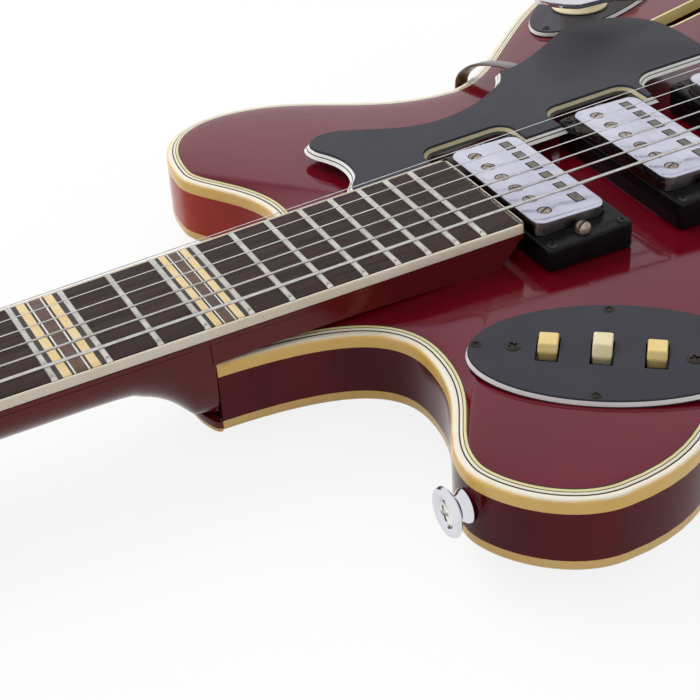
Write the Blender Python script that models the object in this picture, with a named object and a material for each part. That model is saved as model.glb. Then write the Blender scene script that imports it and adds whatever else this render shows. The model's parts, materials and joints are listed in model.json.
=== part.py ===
# Semi-hollow electric guitar lying on its back. Metres.
# +X runs along the strings from the headstock to the tail, +Y is the treble side, +Z leaves the top.
# The origin is on the back's flat rest face, under the middle of the body.
import math

import bmesh
import bpy
from mathutils import Matrix, Vector
from mathutils.bvhtree import BVHTree
from mathutils.geometry import interpolate_bezier

for item in list(bpy.data.objects):
    bpy.data.objects.remove(item, do_unlink=True)

GAP = 0.0003              # air between two pieces that touch
SLIDE_GAP = 0.0004        # air round a piece that turns in another
OVERLAP = 0.001           # how far two shapes reach into each other before they are joined

# Body outline, measured from the face that the neck's heel meets
BODY_LENGTH = 0.480
TONGUE_HALF = 0.027
# the two sides differ a little at the horns; each reach says how straight the curve runs past its point
TREBLE_TONGUE_REACH = 0.0359
TREBLE_CUTAWAY = (0.0605, 0.0586)
TREBLE_CUTAWAY_REACH = (0.0249, 0.0233)
TREBLE_HORN = (0.0407, 0.1076)
TREBLE_HORN_REACH = (0.0132, 0.0353)
TREBLE_UPPER = (0.0779, 0.1520)
TREBLE_UPPER_REACH = (0.0159, 0.0402)
BASS_TONGUE_REACH = 0.0430
BASS_CUTAWAY = (0.0634, 0.0582)
BASS_CUTAWAY_REACH = (0.0215, 0.0325)
BASS_HORN = (0.0433, 0.1202)
BASS_HORN_REACH = (0.0217, 0.0117)
BASS_UPPER = (0.0802, 0.1550)
BASS_UPPER_REACH = (0.0214, 0.0475)
WAIST_X = 0.1708
WAIST_HALF = 0.1175
WAIST_REACH = (0.0400, 0.0310)
LOWER_X = 0.330
LOWER_HALF = 0.206
LOWER_REACH = (0.0878, 0.083)
TAIL_REACH = 0.110
OUTLINE_STEPS = (8, 8, 9, 7, 10, 14)

# Body depth
RIM_DEPTH = 0.0275
RIM_THICK = 0.0035
TOP_ARCH = 0.004
TOP_THICK = 0.005
BACK_ARCH = 0.011
BACK_THICK = 0.0042
ARCH_SHARE = 0.6          # share of the way to the spine where the arch levels out
ARCH_RINGS = 3
SPINE_START = 0.130
SPINE_END = 0.330
BINDING_WIDTH = 0.0023

BLOCK_HALF = 0.047
BLOCK_NECK_HALF = 0.0225
BLOCK_END = 0.455

# Neck, in its own frame: x from the nut, z from the fingerboard's surface
SCALE_LENGTH = 0.641
FRET_COUNT = 22
HEEL_AT = 0.356           # nut to the body, along the fingerboard
HEEL_RISE = 0.015         # fingerboard surface over the body's edge, at the heel
NECK_PITCH = math.radians(2.2)
NUT_HALF = 0.020          # half the playing width between the bindings at the nut
TWELFTH_HALF = 0.025
BOARD_THICK = 0.0058
BOARD_END = 0.476
BOARD_BINDING = 0.002
BOARD_CORNER = 0.006
FRET_HEIGHT = 0.001
FRET_WIDTH = 0.0023
FRET_CROWN = 0.001
NECK_DEPTH_NUT = 0.0205
NECK_DEPTH_BODY = 0.026
HEEL_START = 0.322
TENON_HALF = 0.0205
TENON_END = 0.100
TENON_DEPTH = 0.012
EXTENSION_END = 0.1105
EXTENSION_SLANT = 0.0085
HEEL_CAP_LENGTH = 0.0055

NUT_THICK = 0.0045
STRING_OVER_NUT = 0.0012
STRING_OVER_SADDLE = 0.0056
NUT_SPREAD = 0.0355
SADDLE_SPREAD = 0.052
STRING_RADII = (0.00061, 0.00048, 0.00036, 0.00026, 0.00021, 0.00018)

# Headstock
HEAD_STEP = 0.0078
HEAD_THICK = 0.013
HEAD_LENGTH = 0.148
HEAD_FLARE_X = 0.030
HEAD_HALF = 0.041
HEAD_TIP_HALF = 0.033
TUNER_FIRST = 0.036
TUNER_PITCH = 0.038
TUNER_SPREAD = 0.025
POST_RADIUS = 0.003
POST_HEIGHT = 0.0165
POST_HOLE = 0.0036
GEAR_RADIUS = 0.0045
WORM_RADIUS = 0.0021
GEAR_HEIGHT = 2 * WORM_RADIUS
SHAFT_RADIUS = 0.0014
BUTTON_HALF = (0.0042, 0.0065, 0.0078)
BUTTON_AT = 0.053
TUNER_PLATE_THICK = 0.001
TUNER_PLATE_HALF = 0.009
TUNER_PLATE_END = 0.013   # past the last post
LUG_AT = 0.0068           # to each side of the worm
WORM_HALF = 0.005
LUG_THICK = 0.0015
LUG_HALF = 0.004
LUG_DROP = 0.0062

TRUSS_WIDTH = 0.006
TRUSS_DEPTH = 0.0075
TRUSS_START = -0.030
TRUSS_END = 0.345
COVER_THICK = 0.002
COVER_LENGTH = 0.044
COVER_HALF = 0.0105

# Pickups
PICKUP_AT = (0.1397, 0.197, 0.2535)
PICKUP_TOP = (0.0192, 0.0216, 0.0232)
RING_TOP = (0.0130, 0.0152, 0.0168)
RING_LENGTH = 0.083
RING_WIDTH = 0.036
RING_CORNER = 0.004
COVER_SIZE = (0.0285, 0.066)
COVER_CORNER = 0.003
PICKUP_DEPTH = 0.0265
PICKUP_EAR = 0.0388
PICKUP_EAR_HALF = 0.009
PICKUP_PLATE = 0.0016
HEIGHT_SCREW_AT = 0.0365
HEIGHT_SCREW = 0.0013
HEIGHT_SCREW_HEAD = 0.0024
ROUTE_HALF = (0.0152, 0.0396)
ROUTE_DEPTH = 0.018

# Pickguard, in a plane parallel to the strings
GUARD_THICK = 0.003
GUARD_AT = 0.140
GUARD_HEIGHT = 0.0136
GUARD_SLOPE = 0.046
GUARD_NEAR = 0.034
GUARD_NOTCH_FAR = 0.0503
GUARD_NOTCH_CORNER = 0.005
GUARD_BRIDGE_START = 0.2265
GUARD_BRIDGE_FAR = 0.053
GUARD_EDGE = (            # the curved side away from the strings, from the fingerboard to the bridge
    (0.0852, 0.0800), (0.0900, 0.0850), (0.0984, 0.0883), (0.1085, 0.0859), (0.1265, 0.0765),
    (0.1435, 0.0738), (0.1600, 0.0765), (0.1720, 0.0845), (0.1830, 0.0950), (0.1930, 0.0965),
    (0.2080, 0.1035), (0.2230, 0.1120), (0.2400, 0.1120), (0.2540, 0.1055), (0.2630, 0.0940),
    (0.2655, 0.0800))
GUARD_END = ((0.0865, 0.0315), (0.0865, 0.0400), (0.0893, 0.0477), (0.0917, 0.0527), (0.0922, 0.0562),
             (0.0900, 0.0670), (0.0867, 0.0760))
GUARD_BRIDGE_END = 0.2652
GUARD_RING_AIR = 0.0013   # between the guard and each pickup's ring
BRACKET_WIDTH = 0.0085
BRACKET_RUN = 0.012       # how far the bracket runs straight under the guard
BRACKET_THICK = 0.0014
BRACKET_GUARD = (0.196, 0.088)
BRACKET_FOOT_X = 0.1825
BRACKET_OUT = 0.003
BRACKET_FOOT_DROP = 0.018

# Oval plates
PLATE_THICK = 0.0025
SWITCH_AT = (0.1122, -0.0975)
SWITCH_HALF = (0.0484, 0.0290)
SWITCH_TURN = math.radians(-30.3)
ROCKERS_SHIFT = (-0.0036, 0.0002)
ROCKERS_TURN = math.radians(-6.5)   # the rockers' row is turned a little on the plate
ROCKER_PITCH = 0.0174
ROCKER_HALF = (0.0034, 0.0062)
ROCKER_RISE = 0.0037
ROCKER_DEPTH = 0.0055
ROCKER_TILT = math.radians(11)
ROCKER_WINDOW = (0.0039, 0.0078)
SWITCH_BLOCK_HALF = (0.025, 0.0092)
SWITCH_BLOCK_DEPTH = 0.013
CONTROL_X = 0.2809
CONTROL_FROM_EDGE = 0.0424  # plate's middle to the lower bout's widest line
CONTROL_HALF = (0.055, 0.0218)
CONTROL_TURN = math.radians(26.9)
KNOB_PITCH = 0.040
KNOB_RADIUS = 0.013
KNOB_SKIRT = 0.003
KNOB_TOP_RADIUS = 0.0088
KNOB_HEIGHT = 0.013
SHAFT_KNOB = 0.0019
BUSHING_RADIUS = 0.0033
POT_RADIUS = 0.0082
POT_HEIGHT = 0.009

# Holes through the top beside the centre block
SOUND_HOLE_X = 0.318
SOUND_HOLE_FROM_EDGE = 0.078
SOUND_HOLE_LENGTH = 0.122
SOUND_HOLE_TURN = math.radians(19.5)
SOUND_HOLE_STEM = 0.0050
SOUND_HOLE_EYE = 0.0085

# Bridge
BRIDGE_BASE = (0.011, 0.110, 0.0085)
BRIDGE_POST_AT = 0.0365
BRIDGE_POST = 0.002
BRIDGE_WHEEL = 0.0075
BRIDGE_WHEEL_THICK = 0.0028
SADDLE_BAR = (0.009, 0.084, 0.0075)
SADDLE_RIDGE = 0.0015

# Vibrato tailpiece
VIBRATO_PLATE_START = 0.384
VIBRATO_HALF = 0.032
VIBRATO_THICK = 0.002
VIBRATO_LEG = 0.010
BAR_AT = 0.420
BAR_RISE = 0.0135         # bar's axis over the plate
BAR_RADIUS = 0.0062
BAR_PIVOT = 0.0028
BAR_HALF = 0.029
EAR_THICK = 0.0035
EAR_HALF = 0.008
PIN_RADIUS = 0.0009
PIN_HEIGHT = 0.0035
ARM_LUG_Y = 0.050
ARM_LUG_HALF = 0.0075
ARM_LUG_RISE = 0.0055
ARM_RADIUS = 0.0036
ARM_RISE = 0.0095
ARM_BENDS = ((0.390, 0.054), (0.340, 0.062), (0.300, 0.0715), (0.276, 0.080), (0.260, 0.090),
             (0.246, 0.1015))
ARM_HEIGHTS = (0.0345, 0.0350, 0.0345, 0.0335, 0.0320, 0.0303)
PADDLE_LENGTH = 0.034
PADDLE_HALF = 0.0155
PADDLE_TIP_HALF = 0.0105
PADDLE_THICK = 0.003
ARM_PIN_RADIUS = 0.003

# Strap buttons and output jack
STRAP_DISC = 0.0085
STRAP_WAIST = 0.0042
STRAP_FLANGE = 0.0066
STRAP_LENGTH = 0.0078
JACK_AT = LOWER_X
JACK_PLATE = 0.0115
JACK_PLATE_THICK = 0.0018
JACK_BARREL = 0.0052
JACK_BORE = 0.0033
JACK_DEPTH = 0.026
JACK_HOLE = 0.009

# Levels and places that follow from the sizes above
ORIGIN_X = BODY_LENGTH / 2
EDGE_TOP = BACK_ARCH + RIM_DEPTH
CREST_TOP = EDGE_TOP + TOP_ARCH
PICKUP_FLOOR = CREST_TOP - ROUTE_DEPTH
TWELFTH_X = SCALE_LENGTH / 2
CONTROL_AT = (CONTROL_X, LOWER_HALF - CONTROL_FROM_EDGE)
SOUND_HOLE_AT = (SOUND_HOLE_X, LOWER_HALF - SOUND_HOLE_FROM_EDGE)

FINISH = {
    "cherry": ((0.17, 0.012, 0.018), 0.14, 0.0),
    "cherry_side": ((0.20, 0.014, 0.014), 0.16, 0.0),
    "cherry_neck": ((0.12, 0.012, 0.014), 0.20, 0.0),
    "spruce": ((0.62, 0.45, 0.26), 0.7, 0.0),
    "cream": ((0.80, 0.66, 0.36), 0.35, 0.0),
    "ivory": ((0.85, 0.80, 0.66), 0.35, 0.0),
    "rosewood": ((0.055, 0.028, 0.020), 0.45, 0.0),
    "black_plastic": ((0.022, 0.023, 0.026), 0.16, 0.0),
    "cream_plastic": ((0.82, 0.66, 0.33), 0.35, 0.0),
    "pale_plastic": ((0.86, 0.78, 0.56), 0.35, 0.0),
    "chrome": ((0.72, 0.72, 0.75), 0.14, 1.0),
    "steel": ((0.55, 0.55, 0.56), 0.30, 1.0),
    "nickel_string": ((0.62, 0.61, 0.60), 0.28, 1.0),
    "pot_metal": ((0.50, 0.50, 0.48), 0.40, 1.0),
    "phenolic": ((0.10, 0.06, 0.03), 0.6, 0.0),
}


def finish(name):
    found = bpy.data.materials.get(name)
    if found:
        return found
    colour, rough, metal = FINISH[name]
    made = bpy.data.materials.new(name)
    made.use_nodes = True
    shader = made.node_tree.nodes["Principled BSDF"]
    shader.inputs["Base Color"].default_value = (*colour, 1)
    shader.inputs["Roughness"].default_value = rough
    shader.inputs["Metallic"].default_value = metal
    made.diffuse_color = (*colour, 1)
    return made


def add_object(name, bm, look, parent=None, location=(0, 0, 0), turn=(0, 0, 0), smooth=40):
    bmesh.ops.recalc_face_normals(bm, faces=bm.faces)
    mesh = bpy.data.meshes.new(name)
    bm.to_mesh(mesh)
    bm.free()
    mesh.shade_smooth()
    mesh.set_sharp_from_angle(angle=math.radians(smooth))
    mesh.materials.append(finish(look))
    made = bpy.data.objects.new(name, mesh)
    bpy.context.collection.objects.link(made)
    made.parent = parent
    made.location = location
    made.rotation_euler = turn
    return made


def add_frame(name, location, turn=(0, 0, 0), parent=None):
    made = bpy.data.objects.new(name, None)
    made.empty_display_size = 0.02
    bpy.context.collection.objects.link(made)
    made.parent = parent
    made.location = location
    made.rotation_euler = turn
    return made


def combine(target, tool_name, bm, operation, location=(0, 0, 0), turn=(0, 0, 0), parent=None):
    tool = add_object(tool_name, bm, "black_plastic", parent, location, turn)
    tool.hide_render = True
    tool.display_type = "WIRE"
    step = target.modifiers.new(tool_name, "BOOLEAN")
    step.operation = operation
    step.solver = "EXACT"
    step.object = tool


def cut(target, tool_name, bm, **place):
    combine(target, tool_name, bm, "DIFFERENCE", **place)


def weld_on(target, tool_name, bm, **place):
    combine(target, tool_name, bm, "UNION", **place)


# Shape helpers: each returns a closed bmesh

def prism(points, low, high):
    bm = bmesh.new()
    face = bm.faces.new([bm.verts.new((p[0], p[1], low)) for p in points])
    lifted = bmesh.ops.extrude_face_region(bm, geom=[face])["geom"]
    moved = [v for v in lifted if isinstance(v, bmesh.types.BMVert)]
    bmesh.ops.translate(bm, verts=moved, vec=(0, 0, high - low))
    return bm


def side_prism(points, low, high):
    # the outline is in x and z, and the prism runs along y
    bm = prism(points, low, high)
    bmesh.ops.transform(bm, matrix=Matrix(((1, 0, 0, 0), (0, 0, 1, 0), (0, 1, 0, 0), (0, 0, 0, 1))),
                        verts=bm.verts)
    return bm


def strip(outer, inner, low, high, closed=False):
    # a wall that follows two outlines with the same number of points
    bm = bmesh.new()
    loops = [[bm.verts.new((p[0], p[1], z)) for p in line]
             for line, z in ((outer, low), (outer, high), (inner, high), (inner, low))]
    count = len(outer)
    for k in range(4):
        a, b = loops[k], loops[(k + 1) % 4]
        for i in range(count if closed else count - 1):
            j = (i + 1) % count
            bm.faces.new((a[i], a[j], b[j], b[i]))
    if not closed:
        bm.faces.new([line[0] for line in loops])
        bm.faces.new([line[-1] for line in reversed(loops)])
    return bm


def skin(rings, cap=True):
    # joins rings of points, each with the same count, into one closed skin
    bm = bmesh.new()
    made = [[bm.verts.new(p) for p in ring] for ring in rings]
    for a, b in zip(made, made[1:]):
        for i in range(len(a)):
            j = (i + 1) % len(a)
            bm.faces.new((a[i], a[j], b[j], b[i]))
    if cap:
        bm.faces.new(made[0])
        bm.faces.new(list(reversed(made[-1])))
    bmesh.ops.triangulate(bm, faces=[face for face in bm.faces if len(face.verts) == 4])
    return bm


def tube(path, radius, steps):
    points = [Vector(p) for p in path]
    rings = []
    for i, point in enumerate(points):
        ahead = (points[min(i + 1, len(points) - 1)] - points[max(i - 1, 0)]).normalized()
        across = ahead.cross(Vector((0, 0, 1))).normalized()
        up = across.cross(ahead)
        angles = [2 * math.pi * k / steps for k in range(steps)]
        rings.append([tuple(point + (across * math.cos(a) + up * math.sin(a)) * radius) for a in angles])
    return skin(rings)


def box(size, centre=(0, 0, 0)):
    bm = bmesh.new()
    bmesh.ops.create_cube(bm, size=1)
    bmesh.ops.scale(bm, vec=size, verts=bm.verts)
    bmesh.ops.translate(bm, vec=centre, verts=bm.verts)
    return bm


def turned(profile, steps=20, axis="Z"):
    # the profile lists radius and height from one end of the axis to the other
    bm = bmesh.new()
    verts = [bm.verts.new((r, 0, z)) for r, z in profile]
    edges = [bm.edges.new(pair) for pair in zip(verts, verts[1:])]
    bmesh.ops.spin(bm, geom=verts + edges, cent=(0, 0, 0), axis=(0, 0, 1), angle=2 * math.pi,
                   steps=steps, use_merge=True)
    bmesh.ops.remove_doubles(bm, verts=bm.verts, dist=0.000001)
    if axis == "Y":
        bmesh.ops.rotate(bm, matrix=Matrix.Rotation(math.radians(-90), 3, "X"), verts=bm.verts)
    if axis == "X":
        bmesh.ops.rotate(bm, matrix=Matrix.Rotation(math.radians(90), 3, "Y"), verts=bm.verts)
    return bm


def rod(radius, low, high, steps=20, axis="Z"):
    return turned([(0, low), (radius, low), (radius, high), (0, high)], steps, axis)


def arc(centre, radius, start, end, steps):
    return [(centre[0] + radius * math.cos(math.radians(start + (end - start) * i / steps)),
             centre[1] + radius * math.sin(math.radians(start + (end - start) * i / steps)))
            for i in range(steps + 1)]


def round_box(half_x, half_y, radius, steps=4):
    x, y = half_x - radius, half_y - radius
    return (arc((x, y), radius, 0, 90, steps) + arc((-x, y), radius, 90, 180, steps)
            + arc((-x, -y), radius, 180, 270, steps) + arc((x, -y), radius, 270, 360, steps))


def oval(half_x, half_y, steps=40):
    return [(half_x * math.cos(2 * math.pi * i / steps), half_y * math.sin(2 * math.pi * i / steps))
            for i in range(steps)]


def smooth_line(points, steps):
    # a curve through every point, with its direction at each taken from the two beside it
    line = []
    for i in range(len(points) - 1):
        p0, p1 = Vector(points[i]), Vector(points[i + 1])
        before = Vector(points[max(i - 1, 0)])
        after = Vector(points[min(i + 2, len(points) - 1)])
        bends = interpolate_bezier(p0.to_3d(), (p0 + (p1 - before) / 6).to_3d(),
                                   (p1 - (after - p0) / 6).to_3d(), p1.to_3d(), steps + 1)
        line += [tuple(p.to_2d()) for p in bends[:-1]]
    return line + [tuple(points[-1])]


def inset(points, distance, closed=True):
    # moves an anticlockwise outline inwards by a distance, with mitred corners
    moved = []
    count = len(points)
    for i, point in enumerate(points):
        here = Vector(point)
        last = Vector(points[i - 1]) if closed or i > 0 else None
        after = Vector(points[(i + 1) % count]) if closed or i < count - 1 else None
        normals = [Vector((-d.y, d.x)).normalized() for d in
                   ([here - last] if last is not None else [])
                   + ([after - here] if after is not None else [])]
        joint = sum(normals, Vector((0, 0))).normalized()
        moved.append(tuple(here + joint * (distance / joint.dot(normals[0]))))
    return moved


# Body outline

def half_outline(tongue_reach, cutaway, cutaway_reach, horn, horn_reach, upper, upper_reach):
    # each stop is a point, where its curve heads, and where the next point's curve comes from
    stops = (
        ((0, TONGUE_HALF), (tongue_reach, TONGUE_HALF), (cutaway[0], cutaway[1] - cutaway_reach[0])),
        (cutaway, (cutaway[0], cutaway[1] + cutaway_reach[1]), (horn[0], horn[1] - horn_reach[0])),
        (horn, (horn[0], horn[1] + horn_reach[1]), (upper[0] - upper_reach[0], upper[1])),
        (upper, (upper[0] + upper_reach[1], upper[1]), (WAIST_X - WAIST_REACH[0], WAIST_HALF)),
        ((WAIST_X, WAIST_HALF), (WAIST_X + WAIST_REACH[1], WAIST_HALF),
         (LOWER_X - LOWER_REACH[0], LOWER_HALF)),
        ((LOWER_X, LOWER_HALF), (LOWER_X + LOWER_REACH[1], LOWER_HALF), (BODY_LENGTH, TAIL_REACH)),
        ((BODY_LENGTH, 0), None, None),
    )
    line = []
    for (start, out, into), (end, _, _), steps in zip(stops, stops[1:], OUTLINE_STEPS):
        bends = interpolate_bezier(Vector(start).to_3d(), Vector(out).to_3d(), Vector(into).to_3d(),
                                   Vector(end).to_3d(), steps + 1)
        line += [(p.x - ORIGIN_X, p.y) for p in bends[:-1]]
    return line + [(BODY_LENGTH - ORIGIN_X, 0)]


TREBLE_SIDE = half_outline(TREBLE_TONGUE_REACH, TREBLE_CUTAWAY, TREBLE_CUTAWAY_REACH, TREBLE_HORN,
                           TREBLE_HORN_REACH, TREBLE_UPPER, TREBLE_UPPER_REACH)
BASS_SIDE = [(x, -y) for x, y in half_outline(
    BASS_TONGUE_REACH, BASS_CUTAWAY, BASS_CUTAWAY_REACH, BASS_HORN, BASS_HORN_REACH, BASS_UPPER,
    BASS_UPPER_REACH)]
AROUND = BASS_SIDE + TREBLE_SIDE[-2::-1]
HEEL_X = -ORIGIN_X


def arch_rings(edge_level, rise):
    # concentric rings shrink towards a spine on the centre line while they rise
    edge = inset(AROUND, BINDING_WIDTH + GAP)
    edge[0] = (HEEL_X + GAP, edge[0][1])
    edge[-1] = (HEEL_X + GAP, edge[-1][1])
    spine = [min(max(x, SPINE_START - ORIGIN_X), SPINE_END - ORIGIN_X) for x, _ in edge]
    rings = []
    for step in range(ARCH_RINGS + 1):
        left = 1 - step / ARCH_RINGS
        t = ARCH_SHARE * (1 - left)
        level = edge_level + rise * (1 - left ** 2)
        rings.append([(x + (s - x) * t, y * (1 - t), level) for (x, y), s in zip(edge, spine)])
    return rings


def arched_plate(low_edge, thick, rise):
    return skin(arch_rings(low_edge, rise)[::-1] + arch_rings(low_edge + thick, rise))


def room_inside():
    # what is left between the two plates, less the air against each
    floor = arch_rings(BACK_ARCH + BACK_THICK + GAP, -BACK_ARCH)
    return skin(floor[::-1] + arch_rings(EDGE_TOP - TOP_THICK - GAP, TOP_ARCH))


def top_height(x, y):
    hit = top_tree.ray_cast(Vector((x, y, 1)), Vector((0, 0, -1)))
    return hit[0].z if hit[0] else EDGE_TOP


top_shape = arched_plate(EDGE_TOP - TOP_THICK, TOP_THICK, TOP_ARCH)
back_shape = arched_plate(BACK_ARCH, BACK_THICK, -BACK_ARCH)
top_tree = BVHTree.FromBMesh(top_shape)

body_top = add_object("body_top", top_shape, "cherry", smooth=25)
body_back = add_object("body_back", back_shape, "cherry", smooth=25)


def add_rims():
    low = BACK_ARCH + BACK_THICK + GAP
    high = EDGE_TOP - TOP_THICK - GAP
    inner_start = TENON_HALF + GAP
    for name, side, flip in (("rim_bass", BASS_SIDE, -1), ("rim_treble", TREBLE_SIDE, 1)):
        path = [(HEEL_X, flip * inner_start)] + side[:-1] + [(side[-1][0], flip * GAP / 2)]
        if flip > 0:
            inner = inset(path[::-1], RIM_THICK, closed=False)[::-1]
        else:
            inner = inset(path, RIM_THICK, closed=False)
        inner[0] = (HEEL_X + RIM_THICK, path[0][1])
        inner[-1] = (path[-1][0] - RIM_THICK, path[-1][1])
        add_object(name, strip(path, inner, low, high), "cherry_side")


def add_bindings():
    inner = inset(AROUND, BINDING_WIDTH, closed=False)
    levels = (("top_binding", EDGE_TOP - TOP_THICK, EDGE_TOP),
              ("back_binding", BACK_ARCH, BACK_ARCH + BACK_THICK))
    for name, low, high in levels:
        add_object(name, strip(AROUND, inner, low, high), "cream")


def add_centre_block():
    start = HEEL_X + RIM_THICK + GAP
    shoulder = max(TREBLE_CUTAWAY[0], BASS_CUTAWAY[0]) + RIM_THICK + GAP - ORIGIN_X
    half = [(start, BLOCK_NECK_HALF), (shoulder, BLOCK_NECK_HALF), (shoulder, BLOCK_HALF),
            (BLOCK_END - ORIGIN_X, BLOCK_HALF)]
    plan = half + [(x, -y) for x, y in reversed(half)]
    block = add_object("centre_block", prism(plan, -0.01, CREST_TOP + 0.01), "spruce")
    combine(block, "fit_block_between_plates", room_inside(), "INTERSECT")
    tenon = box((TENON_END + OVERLAP, 2 * (TENON_HALF + GAP), 0.04),
                (HEEL_X + (TENON_END + OVERLAP) / 2, 0, EDGE_TOP - TENON_DEPTH - GAP + 0.02))
    cut(block, "cut_tenon_seat", tenon)
    for index, at in enumerate(PICKUP_AT):
        pocket = box((2 * ROUTE_HALF[0], 2 * ROUTE_HALF[1], 0.04), (at - ORIGIN_X, 0, PICKUP_FLOOR + 0.02))
        cut(block, f"cut_block_route_{index}", pocket)


def s_hole(side):
    # a slanted stem that swells into a round eye at each end, on opposite sides
    half = SOUND_HOLE_LENGTH / 2
    stem = SOUND_HOLE_STEM
    eye = SOUND_HOLE_EYE
    upper = [(-half + 2.4 * eye, stem * 1.3), (0, stem), (half - 3.2 * eye, stem * 0.7),
             (half - 1.2 * eye, stem * 0.2)]
    right = arc((half - eye, -eye * 0.9), eye, 80, -150, 8)
    lower = [(half - 2.4 * eye, -stem * 1.3), (0, -stem), (-half + 3.2 * eye, -stem * 0.7),
             (-half + 1.2 * eye, -stem * 0.2)]
    left = arc((-half + eye, eye * 0.9), eye, 260, 30, 8)
    line = upper + right + lower + left
    cos, sin = math.cos(SOUND_HOLE_TURN), math.sin(SOUND_HOLE_TURN)
    placed = [(SOUND_HOLE_AT[0] - ORIGIN_X + x * cos - y * sin, SOUND_HOLE_AT[1] + x * sin + y * cos)
              for x, y in line]
    return [(x, y * side) for x, y in placed]


def cut_top():
    deep = (EDGE_TOP - 0.02, EDGE_TOP + 0.02)
    slot = box((TENON_END + OVERLAP, 2 * (TENON_HALF + GAP), 0.04),
               (HEEL_X + (TENON_END + OVERLAP) / 2 - OVERLAP, 0, EDGE_TOP))
    cut(body_top, "cut_neck_slot", slot)
    for index, at in enumerate(PICKUP_AT):
        route = prism(round_box(*ROUTE_HALF, 0.003, 3), *deep)
        cut(body_top, f"cut_top_route_{index}", route, location=(at - ORIGIN_X, 0, 0))
    for side, name in ((1, "treble"), (-1, "bass")):
        cut(body_top, f"cut_sound_hole_{name}", prism(s_hole(side), *deep))
    switch = prism(round_box(SWITCH_BLOCK_HALF[0] + 0.002, SWITCH_BLOCK_HALF[1] + 0.002, 0.004, 3), *deep)
    row = Vector(SWITCH_AT) + Matrix.Rotation(SWITCH_TURN, 2) @ Vector(ROCKERS_SHIFT)
    cut(body_top, "cut_switch_route", switch, location=(row.x - ORIGIN_X, row.y, 0),
        turn=(0, 0, SWITCH_TURN + ROCKERS_TURN))
    pots = prism(round_box(KNOB_PITCH / 2 + POT_RADIUS + 0.003, POT_RADIUS + 0.003, 0.004, 3), *deep)
    cut(body_top, "cut_control_route", pots, location=(CONTROL_AT[0] - ORIGIN_X, CONTROL_AT[1], 0),
        turn=(0, 0, CONTROL_TURN))


# Neck. Its frame has x from the nut along the strings and z up from the fingerboard's surface.

NUT_ORIGIN = Vector((HEEL_X - HEEL_AT * math.cos(NECK_PITCH) - HEEL_RISE * math.sin(NECK_PITCH), 0,
                     EDGE_TOP - HEEL_AT * math.sin(NECK_PITCH) + HEEL_RISE * math.cos(NECK_PITCH)))
neck_frame = add_frame("neck_frame", NUT_ORIGIN, (0, -NECK_PITCH, 0))


def to_neck(x, y, z):
    dx, dz = x - NUT_ORIGIN.x, z - NUT_ORIGIN.z
    cos, sin = math.cos(NECK_PITCH), math.sin(NECK_PITCH)
    return (dx * cos + dz * sin, y, -dx * sin + dz * cos)


def from_neck(x, y, z):
    cos, sin = math.cos(NECK_PITCH), math.sin(NECK_PITCH)
    return (NUT_ORIGIN.x + x * cos - z * sin, y, NUT_ORIGIN.z + x * sin + z * cos)


def playing_half(x):
    return NUT_HALF + (TWELFTH_HALF - NUT_HALF) * x / TWELFTH_X


def board_half(x):
    return playing_half(x) + BOARD_BINDING


def heel_plane(z):
    # where the body's heel face is, at a height in the neck's frame
    return HEEL_AT + (z + HEEL_RISE) * math.tan(NECK_PITCH) - GAP


def fret_at(number):
    return SCALE_LENGTH * (1 - 2 ** (-number / 12))


def neck_section(x, depth, fullness, half, last=False):
    top = -BOARD_THICK - GAP
    steps = 14
    ring = []
    for i in range(steps + 1):
        angle = math.pi * i / steps
        across = math.cos(angle)
        down = math.sin(angle)
        y = math.copysign(abs(across) ** (2 / fullness), across) * half
        z = top - (depth + top) * abs(down) ** (2 / fullness)
        ring.append((heel_plane(z) if last else x, y, z))
    return ring


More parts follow.
